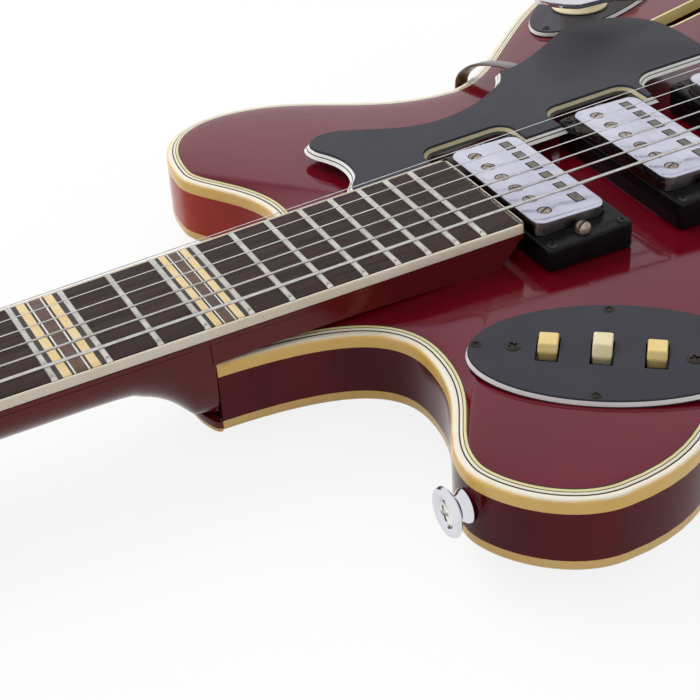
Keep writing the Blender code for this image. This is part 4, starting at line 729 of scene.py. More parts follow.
def archedShell(name, innerLevel, level, rise, plies, part, lip=0.0):
    steps = body["ringSteps"]
    inner = archedRings((), innerLevel, rise, steps["inside"])
    outer = archedRings(plies, level, rise, steps[part], lip)
    bands = [0] * len(inner) + [which for _, which in plies] + [0] * steps[part]
    return loft(name, inner[::-1] + outer, bands=bands)


def wallRound(name, section):
    # a wall along the body's outline; its section is in distances inwards and heights
    lines = [[(x, y, z) for x, y in moveIn(around, distance, closed=False)] for distance, z in section]
    return facesOut(loft(name, lines + lines[:1], closedRound=False, ends=False))


def holeLining(side, label):
    outline = soundHoleLine(side)
    inner = moveIn(outline, soundHole["lining"])
    walls = [[(x, y, topAt(x, y)) for x, y in line] for line in (outline, inner)]
    low, high = -body["topThick"] - soundHole["below"], soundHole["proud"]
    rings = [[(x, y, z + lift) for x, y, z in walls[which]]
             for which, lift in ((0, low), (0, high), (1, high), (1, low))]
    return facesOut(loft("soundHoleLining_" + label, rings + rings[:1], ends=False))


def addBody():
    topZ, backZ = body["topZ"], body["backZ"]
    rimLow, rimHigh = backZ + body["backThick"], topZ - body["topThick"]
    top = archedShell("bodyTop", rimHigh, topZ, body["topArch"], body["plies"], "top", body["lip"])
    # its finishes come first, as a cut leaves the faces their numbers
    wear(top, "cherryTop", "plyBlack", "plyWhite", "plyCream")
    linings = [holeLining(1, "treble"), holeLining(-1, "bass")]
    for side in (1, -1):
        carve(top, slab("holeCutter", soundHoleLine(side), topZ - soundHole["cutDepth"],
                        topZ + soundHole["cutDepth"]))
    dress(top, (), 20, stands=("body_top",))
    for lining in linings:
        dress(lining, "plyCream", 30)
    back = archedShell("bodyBack", rimLow, backZ, -body["backArch"], body["backPlies"], "back")
    dress(back, ("cherrySide", "plyBlack", "plyWhite"), 20, stands=("body_back",))

    thick, wide, bend = body["rimThick"], body["binding"] - 0.0001, body["bindingRound"]
    sides = wallRound("bodySides", ((0, rimLow), (0, rimHigh), (thick, rimHigh), (thick, rimLow)))
    dress(sides, "cherrySide", 50, stands=("rim_bass", "rim_treble"))
    for name, node, look, inside, outside, crest in (
            ("topBinding", "top_binding", "bindingTop", rimHigh, topZ, 1),
            ("backBinding", "back_binding", "bindingSide", rimLow, backZ, -1)):
        curve = [(x, outside - crest * (bend - z)) for x, z in arc((bend, 0), bend, 180, 90, 6)]
        ring = wallRound(name, [(0, inside)] + curve + [(wide, outside), (wide, inside)])
        dress(ring, look, 50, stands=(node,))
    cap = polished("heel_cap", "bindingSide", edge=0.0004)
    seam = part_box("heel_cap")[0].z + body["capSeam"]
    edit(cap, (bpy.ops.mesh.bisect, {"plane_co": (0, 0, seam), "plane_no": (0, 0, 1)}))
    cap.data.materials.append(finish("cherryNeck"))
    for face in cap.data.polygons:
        if face.center.z > seam:
            face.material_index = 1
    polished("centre_block", "blockSpruce")


addBody()
print("body built")


# Neck and fingerboard, in the neck's own frame
neck = {
    "pitch": 2.2,
    "heelAt": 0.356,
    "heelRise": 0.015,
    "nutHalf": 0.020,
    "twelfthHalf": 0.025,
    "scale": 0.641,
    "binding": 0.002,
    "bindingTop": 0.0013,
    "bindingDeep": 0.0040,
    "boardThick": 0.0058,
    "boardEnd": 0.4776,
    "boardCorner": 0.003,
    "depthNut": 0.0200,
    "depthBody": 0.0250,
    "heelStart": 0.322,
    "heelDepth": 0.038,
    "heelCurve": ((0.26, 0.18, 2.3), (0.45, 0.40, 2.6), (0.56, 0.58, 3.0), (0.65, 0.80, 3.4),
                  (0.74, 1.0, 4.5)),
    "headStep": 0.0078,
    "headThick": 0.013,
    "headLine": ((-0.008, 0.022), (-0.0186, 0.032), (-0.030, 0.0398), (-0.050, 0.041), (-0.126, 0.035),
                 (-0.144, 0.029), (-0.146, 0.018), (-0.148, 0.0)),
    "extensionEnd": 0.1105,
    "extensionSlant": 0.0085,
    "frets": 22,
    "fretHeight": 0.001,
    "fretWide": 0.0023,
    "markers": (3, 5, 7, 9, 12, 15),
    "bars": ((0.10, 1), (0.185, 2), (0.05, 1), (0.035, 3), (0.26, 4), (0.035, 3), (0.05, 1), (0.185, 2),
             (0.10, 1)),
    "barGap": 0.0012,
    "fullness": 2.2,
    "heelFullness": 7,
    "headStart": 0.004,
    "seatY": (0.012, 0.0195),
    "gap": 0.0002,
}
pitch = math.radians(neck["pitch"])
nutPoint = Vector((heelX - neck["heelAt"] * math.cos(pitch) - neck["heelRise"] * math.sin(pitch), 0,
                   body["topZ"] - neck["heelAt"] * math.sin(pitch) + neck["heelRise"] * math.cos(pitch)))
neckMatrix = Matrix.Translation(nutPoint) @ Matrix.Rotation(-pitch, 4, "Y")


def playingHalf(x):
    return neck["nutHalf"] + (neck["twelfthHalf"] - neck["nutHalf"]) * x / (neck["scale"] / 2)


def boardHalf(x):
    return playingHalf(x) + neck["binding"]


def fretAt(number):
    return neck["scale"] * (1 - 2 ** (-number / 12))


def neckRing(x, depth, fullness, half, last=False):
    # a half oval under the board; the last one stands on the body's end face
    steps = 28
    top = -neck["boardThick"] - neck["gap"]
    ring = []
    for i in range(steps + 1):
        angle = math.pi * i / steps
        across, down = math.cos(angle), math.sin(angle)
        z = top - (depth + top) * abs(down) ** (2 / fullness)
        place = neck["heelAt"] + (z + neck["heelRise"]) * math.tan(pitch) - body["endInset"] if last else x
        ring.append((place, math.copysign(abs(across) ** (2 / fullness), across) * half, z))
    return ring


def addNeck():
    grow = neck["depthBody"] - neck["depthNut"]
    start = neck["heelStart"]
    plain = neck["fullness"]
    stations = [(-neck["headStart"], neck["depthNut"], plain)]
    stations += [(start * k / 8, neck["depthNut"] + grow * k / 8, plain) for k in range(1, 9)]
    for share, fall, full in neck["heelCurve"]:
        stations.append((start + (neck["heelAt"] - start) * share,
                         neck["depthBody"] + (neck["heelDepth"] - neck["depthBody"]) * fall, full))
    dense = curveThrough(stations, 3)
    rings = [neckRing(x, depth, full, boardHalf(x)) for x, depth, full in dense]
    rings.append(neckRing(0, neck["heelDepth"], neck["heelFullness"], body["tongue"] - neck["gap"],
                          last=True))
    shaft = loft("neckShaft", rings)
    smooth(shaft, 60)

    top = -neck["headStep"]
    side = curveThrough([Vector(p) for p in neck["headLine"]], 8)
    outline = [(neck["headStart"], boardHalf(0))] + [(p.x, p.y) for p in side]
    outline += [(x, -y) for x, y in reversed(outline[:-1])]
    head = slab("neckHead", outline, top - neck["headThick"], top)
    soften(head, 0.0012, 3, 60)
    smooth(head, 40)

    rings = []
    steps = 12
    for i in range(steps + 1):
        x = heelX + neck["extensionEnd"] * i / steps - (0.001 if i == 0 else 0)
        seat = max(topAt(max(x, heelX + 0.001), y) for y in neck["seatY"])
        low = neckMatrix.inverted() @ Vector((x, 0, seat - neck["gap"]))
        high = -neck["boardThick"] - neck["gap"]
        half = boardHalf(low.x) - neck["gap"] / 2
        slant = neck["extensionSlant"] if i == steps else 0
        rings.append([(low.x, -half, low.z), (low.x + slant, -half, high), (low.x + slant, half, high),
                      (low.x, half, low.z)])
    extension = loft("neckExtension", rings)
    whole = joined([shaft, head, extension], "neck_dressed")
    dress(whole, "cherryNeck", place=neckMatrix, stands=("neck",))


def markerBands(number):
    # two cream bars with a wooden stripe between them, from one fret to the next
    start, end = fretAt(number - 1) + neck["barGap"], fretAt(number) - neck["barGap"]
    width = end - start
    stops = []
    for share, which in neck["bars"]:
        stops.append((start, start + width * share, which))
        start += width * share
    return stops


def addFingerboard():
    lip = neck["bindingTop"]
    end = neck["boardEnd"] - lip
    spans = []
    done = 0.0
    for number in neck["markers"]:
        for low, high, which in markerBands(number):
            if low > done + 0.00001:
                spans.append((done, low, 0))
            spans.append((low, high, which))
            done = high
    spans.append((done, end, 0))
    rings, bands = [], []
    thick = neck["boardThick"]
    for low, high, which in spans:
        for x in (low, high):
            half = boardHalf(x) - lip - 0.00015
            rings.append([(x, -half, -thick), (x, -half, 0), (x, half, 0), (x, half, -thick)])
        bands += [which, which]
    board = loft("fingerboard_dressed", rings, bands=bands[:-1])
    dress(board, ("boardWood", "inlayBlack", "inlayCream", "inlayWhite", "inlayWood"),
          place=neckMatrix, stands=("fingerboard",))

    corner, long = neck["boardCorner"], neck["boardEnd"]
    bend = arc((long - corner, -boardHalf(long) + corner), corner, -90, 0, 10)[1:]
    outer = [(0, -boardHalf(0)), (long - corner, -boardHalf(long - corner))] + bend
    outer += [(x, -y) for x, y in reversed(outer)]
    near, far = boardHalf(0) - lip, boardHalf(end) - lip
    inner = [(0, near), (end, far), (end, -far), (0, -near)]
    rail = slab("neckRail", outer + inner, -thick, -neck["bindingDeep"] - 0.00005)
    dress(rail, "cherryNeck", 50, neckMatrix)
    strip = slab("boardBinding_dressed", outer + inner, -neck["bindingDeep"], 0)
    soften(strip, 0.0006, 3, 50)
    dress(strip, "boardBinding", 50, neckMatrix, stands=("fingerboard_binding",))

    # one fret, copied to each place and cut to the board's width there
    wide, tall = neck["fretWide"] / 2, neck["fretHeight"]
    profile = [(-wide, 0.0), (-wide * 0.92, tall * 0.42), (-wide * 0.6, tall * 0.84), (0, tall),
               (wide * 0.6, tall * 0.84), (wide * 0.92, tall * 0.42), (wide, 0.0)]
    ends = ((-1.0, 0.0), (-0.986, 0.72), (-0.955, 1.0), (0.955, 1.0), (0.986, 0.72), (1.0, 0.0))
    model = loft("fretModel", [[(x, share, z * lift) for x, z in profile] for share, lift in ends])
    smooth(model, 60)
    wear(model, "fretWire")
    for number in range(1, neck["frets"] + 1):
        x = fretAt(number)
        half = boardHalf(x) - lip + neck["gap"]
        place = neckMatrix @ Matrix.Translation((x, 0, 0)) @ Matrix.Diagonal((1, half, 1, 1))
        mount(copyPiece(model, f"fret_{number}", place))
    bpy.data.objects.remove(model)


addNeck()
addFingerboard()
print("neck, board and frets built")


# Screws, modelled once for each kind
screws = {
    "plateScrew": {"radius": 0.0019, "rise": 0.0005, "slot": 0.42, "drive": "cross", "look": "darkScrew"},
    "bigPlateScrew": {"radius": 0.0027, "rise": 0.0006, "slot": 0.40, "drive": "cross", "look": "darkScrew"},
    "ringScrew": {"radius": 0.0019, "rise": 0.0007, "drive": "cross", "look": "darkScrew"},
    "heightScrew": {"radius": 0.0029, "rise": 0.0021, "slot": 0.36, "drive": "slot", "look": "rustyScrew"},
    "poleScrew": {"radius": 0.0025, "rise": 0.0007, "drive": "slot", "look": "rustyScrew"},
    "tunerScrew": {"radius": 0.0019, "rise": 0.0009, "drive": "cross", "look": "brightMetal"},
    "strapScrew": {"radius": 0.0044, "rise": 0.0016, "drive": "cross", "look": "brightMetal"},
}
screwModels = {}


def screwModel(kind):
    if kind in screwModels:
        return screwModels[kind]
    plan = screws[kind]
    r, rise = plan["radius"], plan["rise"]
    head = spun(kind, [(0, -rise), (r, -rise), (r, rise * 0.2), (r * 0.93, rise * 0.55),
                       (r * 0.72, rise * 0.84), (r * 0.4, rise * 0.97), (0, rise)], 28)
    turns = (0, 90) if plan["drive"] == "cross" else (0,)
    reach = r * (1.25 if plan["drive"] == "cross" else 2.4)
    for turn in turns:
        size = (reach, r * plan.get("slot", 0.3), rise * 1.5)
        carve(head, block("driveCutter", size, (0, 0, rise * 0.9), turn))
    smooth(head, 40)
    wear(head, plan["look"])
    screwModels[kind] = head
    return head


def setScrews(kind, name, places):
    # places are matrices; each head is turned differently
    copies = []
    for index, place in enumerate(places):
        spin = Matrix.Rotation(math.radians(25 + 73 * index), 4, "Z")
        copies.append(copyPiece(screwModel(kind), f"{name}_{index + 1}", place @ spin))
    whole = joined(copies, name) if len(copies) > 1 else copies[0]
    return mount(whole)


# Strings
strings = {
    "radii": (0.00061, 0.00048, 0.00036, 0.00026, 0.00021, 0.00018),
    "turns": 3.2,
    "turnSteps": 60,
    "postRadius": 0.003,
    "windAt": 0.00693,
    "windFall": 2.05,
}


def jointPlace(name):
    return Vector(next(j for j in frame["joints"] if j["name"] == name)["pos_m"])


def addStrings():
    lean = neckMatrix.to_3x3()
    axis, across = lean @ Vector((0, 0, 1)), lean @ Vector((1, 0, 0))
    side = axis.cross(across)
    top = neckMatrix @ Vector((0, 0, -neck["headStep"] + strings["windAt"]))
    for number, thick in enumerate(strings["radii"], 1):
        polished(f"string_{number}", "woundString" if number <= 3 else "stringSteel", 60)
        # the turns round the post
        post = jointPlace(f"tuner_post_{number}_turn")
        base = post + axis * ((top - post).dot(axis))
        reach = strings["postRadius"] + thick
        path = []
        for step in range(strings["turnSteps"] + 1):
            wound = strings["turns"] * step / strings["turnSteps"]
            angle, fall = 2 * math.pi * wound, thick * strings["windFall"] * wound
            out = across * math.cos(angle) * reach + side * math.sin(angle) * reach
            path.append(base + out - axis * fall)
        coil = tubeAlong(f"stringTurns_{number}", path, thick, 8)
        dress(coil, "stringSteel", rider=f"post_{number}")


def tubeAlong(name, path, radius, sides):
    points = [Vector(p) for p in path]
    angles = [2 * math.pi * k / sides for k in range(sides)]
    rings = []
    for i, point in enumerate(points):
        ahead = (points[min(i + 1, len(points) - 1)] - points[max(i - 1, 0)]).normalized()
        across = ahead.cross(Vector((0, 0, 1))).normalized()
        up = across.cross(ahead)
        rings.append([point + across * math.cos(a) * radius + up * math.sin(a) * radius for a in angles])
    return smooth(loft(name, rings), 60)


# Pickups
pickups = {
    "size": (0.0300, 0.0645),
    "centreY": 0.0010,
    "corner": 0.0045,
    "ringCorner": 0.0022,
    "rows": (-0.0077, 0.0072),
    "pitches": (0.0099, 0.0096),
    "rowY": (0.0006, 0.0022),
    "shift": {"neck": (-0.0003, 0.0012), "middle": (-0.0025, 0.0), "bridge": (-0.0040, -0.0030)},
    "taper": 0.0018,
    "ringScrews": (0.0148, 0.0383),
    "heightScrews": (0.0013, 0.0358, 0.0020),
    "coverStart": 0.004,
    "well": (0.00275, 0.002),
    "slot": (0.0042, 0.0068, 0.0012),
    "pole": (0.0035, 0.0059, 0.003),
    "poleDrop": 0.0013,
    "screwDrop": 0.0004,
    "gap": 0.0003,
}


def addPickup(label):
    shiftCover, shiftRing = pickups["shift"][label]
    low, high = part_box("pickup_" + label)
    ringLow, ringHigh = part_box("pickup_ring_" + label)
    x = (low.x + high.x) / 2 + shiftCover
    middle = at(x, pickups["centreY"], 0)
    screwSpots, barSpots = ([(x + row, pitch * (i - 2.5) + rowY) for i in range(6)] for row, pitch, rowY in
                            zip(pickups["rows"], pickups["pitches"], pickups["rowY"]))
    halfX, halfY = (side / 2 for side in pickups["size"])
    cover = slab("pickupCover_" + label, roundBox(halfX, halfY, pickups["corner"]),
                 low.z + pickups["coverStart"], high.z)
    wear(cover, "coverMetal", "plyBlack", "agedNickel")
    settle(cover, middle)
    # wells for the round screws, and slots for the square poles
    wells = []
    for screwSpot, barSpot in zip(screwSpots, barSpots):
        wells.append(pin("well", *pickups["well"], 28, (*screwSpot, high.z)))
        wells.append(block("well", pickups["slot"], (*barSpot, high.z)))
    soften(cover, 0.0011, 4, 50)
    wells = joined(wells, "wells")
    wear(wells, "coverMetal", "plyBlack")
    for face in wells.data.polygons:
        face.material_index = 1
    carve(cover, wells)
    # the cover's side walls take the dark nickel as painted shade, standing in for the black ring's
    # reflection
    for face in cover.data.polygons:
        if abs(face.normal.z) < 0.3 and not face.material_index:
            face.material_index = 2
    dress(cover, (), 40, stands=("pickup_" + label,))
    setScrews("poleScrew", "poleScrews_" + label,
              [at(*spot, high.z - pickups["screwDrop"]) for spot in screwSpots])
    poles = [soften(block("pole", pickups["pole"], (*spot, high.z - pickups["poleDrop"])), 0.0004, 2, 30)
             for spot in barSpots]
    dress(joined(poles, "squarePoles_" + label), "poleSteel", 40)
    screwX, screwY, lift = pickups["heightScrews"]
    setScrews("heightScrew", "heightScrews_" + label,
              [at(x + screwX, side * screwY, ringHigh.z + lift) for side in (-1, 1)])

    ringX = (ringLow.x + ringHigh.x) / 2 + shiftRing
    outline = roundBox((ringHigh.x - ringLow.x) / 2, (ringHigh.y - ringLow.y) / 2, pickups["ringCorner"])
    ring = slab("pickupRing_" + label + "_dressed", outline, ringLow.z, ringHigh.z)
    # the ring's top rises toward the tail
    for vertex in ring.data.vertices:
        if vertex.co.z > ringHigh.z - 0.0001 and vertex.co.x > 0:
            vertex.co.z += pickups["taper"]
    settle(ring, at(ringX, 0, 0))
    gap = pickups["gap"]
    hole = slab("ringHole", roundBox(halfX + gap, halfY + gap, pickups["corner"]),
                ringLow.z - 0.01, ringHigh.z + 0.01)
    settle(hole, middle)
    soften(ring, 0.0009, 3, 50)
    carve(ring, hole)
    dress(ring, "ringPlastic", 40, stands=("pickup_ring_" + label,))
    screwX, screwY = pickups["ringScrews"]
    setScrews("ringScrew", "ringScrews_" + label,
              [at(ringX + a * screwX, b * screwY,
                  ringHigh.z + 0.0001 + pickups["taper"] * (0.94 if a > 0 else 0.06))
               for a in (-1, 1) for b in (-1, 1)])


# Pickguard and its bracket
guard = {
    "thick": 0.003,
    "at": 0.140,
    "height": 0.0136,
    "slope": 0.046,
    "near": 0.034,
    "notchFar": 0.0503,
    "notchCorner": 0.005,
    "bridge": (0.2285, 0.0529, 0.2652),
    "bridgeCorner": 0.0085,
    "pickups": ((0.1797, 0.2163), (0.1232, 0.1590)),
    "edge": ((0.0863, 0.0815), (0.0876, 0.0857), (0.0915, 0.0890), (0.0975, 0.0903), (0.1060, 0.0880),
             (0.1265, 0.0758), (0.1425, 0.0723), (0.1573, 0.0752), (0.1683, 0.0805), (0.1752, 0.0849),
             (0.1788, 0.0892), (0.1809, 0.0930), (0.1822, 0.0946), (0.1861, 0.0948), (0.1925, 0.0959),
             (0.2014, 0.0997),
             (0.2136, 0.1065), (0.2250, 0.1125), (0.2400, 0.1132), (0.2540, 0.1065), (0.2630, 0.0945),
             (0.2655, 0.0800)),
    "end": ((0.0848, 0.0315), (0.0850, 0.0390), (0.0858, 0.0440), (0.0880, 0.0475), (0.0909, 0.0515),
            (0.0922, 0.0570), (0.0920, 0.0638), (0.0900, 0.0702), (0.0871, 0.0765)),
    "layers": ((0.0, 0.0030, 1), (0.0009, 0.0020, 2), (0.0012, 0.0017, 1), (0.0020, 0.0009, 0),
               (0.0024, 0.0, 0)),
    # the box round the far sides of two notches whose plies get painted shade
    "shadedNotches": ((0.105, 0.0370), (0.219, 0.0520)),
}
bracket = {
    "half": (0.0031, 0.0006),
    "path": ((-0.0440, 0.0880, 0.0500), (-0.0458, 0.1000, 0.0500), (-0.0492, 0.1110, 0.0486),
             (-0.0530, 0.1185, 0.0462), (-0.0558, 0.1225, 0.0428), (-0.0572, 0.1246, 0.0392),
             (-0.0575, 0.1252, 0.0350), (-0.0575, 0.1251, 0.0300), (-0.0575, 0.1251, 0.0205)),
}


def guardLine():
    start, far, end = guard["bridge"]
    r = guard["notchCorner"]
    flat = [(p.x, p.y) for p in curveThrough([*guard["edge"], (end, far)], 6)]
    wide = guard["bridgeCorner"]
    flat += arc((start - 0.0042 + wide, far - wide), wide, 90, 180, 8)
    flat.append((start - 0.0060, guard["near"]))
    for low, high in guard["pickups"]:
        flat.append((high, guard["near"]))
        flat += arc((high - r, guard["notchFar"] - r), r, 0, 90, 8)
        flat += arc((low + r, guard["notchFar"] - r), r, 90, 180, 8)
        flat.append((low, guard["near"]))
    flat += [(p.x, p.y) for p in curveThrough([*guard["end"], guard["edge"][0]], 6)][:-1]
    return flat[::-1]


def addGuard():
    line = guardLine()
    rings = []
    bands = []
    for distance, drop, which in guard["layers"]:
        ring = moveIn(line, distance)
        rings.append([(x - body["length"] / 2, y,
                       body["topZ"] + guard["height"] + guard["slope"] * (x - guard["at"]) - drop)
                      for x, y in ring])
        bands.append(which)
    plate = loft("pickguard_dressed", rings, bands=bands)
    # the far sides of two notches get painted shade: their lower white ply is painted black as shadow, the
    # plies above a dim shaded tone
    low, high = guard["shadedNotches"]
    for face in plate.data.polygons:
        x, y = face.center.x + body["length"] / 2, face.center.y
        if face.material_index and low[0] < x < high[0] and low[1] < y < high[1]:
            face.material_index = 2 if face.index < len(line) else 3
    dress(plate, ("blackPlastic", "guardWhite", "plyBlack", "plyAged"), 20,
          stands=("pickguard",))
    line = curveThrough(bracket["path"], 8)
    rings = []
    for i, point in enumerate(line):
        ahead = (line[min(i + 1, len(line) - 1)] - line[max(i - 1, 0)]).normalized()
        across = Vector((1, 0, 0))
        up = across.cross(ahead).normalized()
        rings.append([point + across * x + up * z for x, z in roundBox(*bracket["half"], 0.0005, 3)])
    strip = loft("pickguardBracket_dressed", rings)
    dress(strip, "agedNickel", 50, stands=("pickguard_bracket",))


# Oval plates with switches and knobs
switches = {
    "at": (-0.1278, -0.0975, 0.041837),
    "across": (0.863273, -0.504456, -0.016878),
    "up": (0.000657, -0.032315, 0.999478),
    "half": (0.0484, 0.0280),
    "centre": (0.0, 0.0018),
    "row": (-0.0036, 0.0002, -6.5),
    "pitch": 0.0179,
    "window": (0.0078, 0.0142),
    "windowY": 0.0007,
    "shift": 0.0001,
    "windowDeep": 0.02,
    "well": (0.0285, 0.0130, 0.004),
    "wellSpan": (-0.02, 0.002),
    "rocker": 0.0033,
    "tipped": ((0.0074, 0.0048), (0.0004, 0.0048), (-0.0012, 0.0021), (-0.0010, -0.0015),
               (0.0074, -0.0015)),
    "level": ((0.0082, 0.0057), (0.0014, 0.0052), (-0.0004, 0.0028), (-0.0013, 0.0014), (-0.0011, -0.0015),
              (0.0082, -0.0015)),
    "small": ((-0.0450, 0.0053), (0.0003, 0.0262), (-0.0067, -0.0227), (0.0450, -0.0053)),
    "big": ((-0.0327, 0.0043), (0.0264, -0.0027)),
}
controls = {
    "at": (0.0409, 0.1636, 0.040337),
    "across": (0.891779, 0.452426, -0.006358),
    "up": (-0.018854, 0.051195, 0.998511),
    "half": (0.055, 0.0218),
    "centre": (0.0, 0.0),
    "small": ((-0.0500, 0.0), (0.0, 0.0185), (0.0, -0.0185), (0.0500, 0.0)),
    "knobs": (("volume", -0.020), ("tone", 0.020)),
    "skirt": ((0, 0.0029), (0.0118, 0.0029), (0.0130, 0.0030), (0.0130, 0.0035), (0.0122, 0.0041),
              (0.0098, 0.0054), (0.0088, 0.0062), (0, 0.0062)),
    "flutes": (0.0088, 0.0088, 0.0083, 0.0083),
    "grip": (0.0060, 0.0159),
    "mark": ((0.0060, 0.0009, 0.0008), (0.0055, 0, 0.0158)),
}
plate = {
    "thick": 0.0025,
    "layers": ((0.0, 0.0, 0), (0.0, 0.0005, 1), (0.0006, 0.0019, 0), (0.0009, 0.0025, 0)),
}


def planeMatrix(plan):
    across, up = Vector(plan["across"]).normalized(), Vector(plan["up"]).normalized()
    lean = Matrix((across, up.cross(across), up)).transposed()
    return at(*plan["at"]) @ lean.to_4x4()


def ovalPlate(name, plan):
    middle = Vector(plan["centre"])
    line = [tuple(Vector(p) + middle) for p in ringLine([1] * 96, plan["half"])]
    rings = [[(x, y, z) for x, y in moveIn(line, distance)] for distance, z, _ in plate["layers"]]
    made = loft(name, rings, bands=[which for _, _, which in plate["layers"]])
    return wear(made, "blackPlastic", "whitePlastic")


def addSwitches():
    place = planeMatrix(switches)
    made = ovalPlate("switchPlate_dressed", switches)
    rowX, rowY, turn = switches["row"]
    row = at(rowX, rowY, 0) @ Matrix.Rotation(math.radians(turn), 4, "Z")
    along = [switches["pitch"] * k + switches["shift"] for k in (-1, 0, 1)]
    size = (*switches["window"], switches["windowDeep"])
    for x in along:
        carve(made, block("window", size, matrix=row @ at(x, switches["windowY"], 0)))
    dress(made, (), 25, place, stands=("switch_plate",))
    well = slab("switchWell", roundBox(*switches["well"]), *switches["wellSpan"])
    carve(bpy.data.objects["bodyTop"], settle(well, place @ row))
    top = plate["thick"]
    setScrews("plateScrew", "switchPlateScrews", [place @ at(x, y, top) for x, y in switches["small"]])
    setScrews("bigPlateScrew", "switchScrews", [place @ at(x, y, top) for x, y in switches["big"]])
    half = switches["rocker"]
    for number, spot in enumerate(along, 1):
        outline = switches["level" if number == 2 else "tipped"]
        rocker = loft(f"rocker_{number}_dressed", [[(x, y, z) for y, z in outline] for x in (-half, half)])
        soften(rocker, 0.0006, 3, 15)
        # rocker 2 wears the paler cream: painted light, as its facets face more upward
        dress(rocker, "palePlastic" if number == 2 else "creamPlastic", 5,
              place @ row @ at(spot, 0, 0), f"switch_{number}", (f"rocker_{number}",))
    polished("switch_block", "phenolicBoard", 30)


def addControls():
    place = planeMatrix(controls)
    made = ovalPlate("controlPlate_dressed", controls)
    dress(made, (), 25, place, stands=("control_plate",))
    screwPlaces = [place @ at(x, y, plate["thick"]) for x, y in controls["small"]]
    setScrews("plateScrew", "controlPlateScrews", screwPlaces)
    for label, x in controls["knobs"]:
        skirt = spun("knobSkirt", controls["skirt"], 64)
        grip = slab("knobGrip", ringLine(controls["flutes"] * 18), *controls["grip"])
        soften(grip, 0.0005, 2, 60)
        mark = block("knobMark", *controls["mark"])
        for part, look in ((mark, "plyBlack"), (skirt, "palePlastic"), (grip, "creamPlastic")):
            wear(part, look)
        knob = joined([skirt, grip, mark], f"knob_{label}_dressed")
        dress(knob, (), 40, place @ at(x, 0, 0), f"{label}_control", (f"knob_{label}",))
        polished(f"pot_{label}", "poleSteel", 35)


# Nut, tuners and the head's cover
tuners = {
    "first": 0.036,
    "pitch": 0.038,
    "spread": 0.025,
    "hole": (0.0009, 0.02, 16, (0, 0, 0.0105), 90),
    "ferrule": ((0.0033, 0.0001), (0.0048, 0.0001), (0.0048, 0.0006), (0.0039, 0.0014), (0.0033, 0.0014),
                (0.0033, 0.0001)),
    "plateScrews": 0.019,
    "screwsUnder": 0.0018,
    "coverScrews": (-0.0110, -0.0490),
    "coverThick": 0.0022,
}
nutSlots = {
    "widths": (0.0013, 0.0011, 0.0009, 0.0007, 0.0006, 0.0005),
    "first": -0.0175,
    "pitch": 0.0070,
    "at": (-0.002, 0.0022),
    "size": (0.012, 0.0022),
}


def addHead():
    level = -neck["headStep"]
    nut = polished("nut", "inlayWhite", 30, edge=0.0005)
    (x, z), (long, deep) = nutSlots["at"], nutSlots["size"]
    slots = [block("nutSlot", (long, wide, deep), (x, nutSlots["first"] + nutSlots["pitch"] * k, z),
                   matrix=neckMatrix) for k, wide in enumerate(nutSlots["widths"])]
    carve(nut, joined(slots, "nutSlots"))
    polished("truss_rod_cover", "blackPlastic", 30, edge=0.0004)
    setScrews("ringScrew", "headCoverScrews",
              [neckMatrix @ at(x, 0, level + tuners["coverThick"]) for x in tuners["coverScrews"]])
    print("nut and head cover are on")

    back = level - neck["headThick"] - tuners["screwsUnder"]
    flip = Matrix.Rotation(math.pi, 4, "X")
    for label, side in (("bass", -1), ("treble", 1)):
        polished("tuner_plate_" + label, "chromePlate", 35, edge=0.0003)
        first = tuners["plateScrews"] - tuners["first"]
        setScrews("tunerScrew", "tunerPlateScrews_" + label,
                  [neckMatrix @ at(first - k * tuners["pitch"], side * tuners["spread"], back) @ flip
                   for k in range(4)])
    for number in range(1, 7):
        k, side = (number - 1, -1) if number <= 3 else (6 - number, 1)
        place = neckMatrix @ at(-tuners["first"] - k * tuners["pitch"], side * tuners["spread"], level)
        post = polished(f"tuner_post_{number}", "chromePlate", 40)
        carve(post, pin("stringHole", *tuners["hole"], matrix=place))
        polished(f"tuner_button_{number}", "brightMetal", 60)
        collar = spun(f"tunerFerrule_{number}", tuners["ferrule"], 32)
        dress(collar, "brightMetal", 40, place)


# Bridge and vibrato
bridge = {
    "posts": 0.0365,
    "wheelTeeth": (0.0071, 0.0076),
    "wheelSpan": (-0.0034, -0.0004),
    "spread": 0.052,
    "screws": (0.0047, 0.0036),
}
vibrato = {
    "plateScrews": (0.1535, 0.024, 0.0014),
    "tailScrews": (0.020, 0.0345),
    "springAt": 0.170,
    "springRadius": 0.0055,
    "springWire": 0.0009,
    "springHeight": 0.0085,
    "springTurns": 3.0,
    "springSteps": 96,
}
arm = {
    "radius": 0.0036,
    "bends": ((0.390, 0.054), (0.340, 0.062), (0.300, 0.0715), (0.276, 0.080), (0.260, 0.090),
              (0.246, 0.1015)),
    "levels": (0.0345, 0.0352, 0.0352, 0.0348, 0.0340, 0.0328),
    "paddle": ((-0.0060, 0.0034), (-0.0020, 0.0052), (0.0030, 0.0084), (0.0080, 0.0120), (0.0130, 0.0152),
               (0.0180, 0.0155), (0.0240, 0.0143), (0.0300, 0.0119), (0.0330, 0.0098), (0.0340, 0.0070)),
    "thick": 0.003,
    "lug": 0.0055,
    "start": (0.004, -0.001),
    "collar": (0.0050, 0.0055, 0.0047, 0.0022),
}
facingTail = Matrix.Rotation(math.radians(90), 4, "Y")


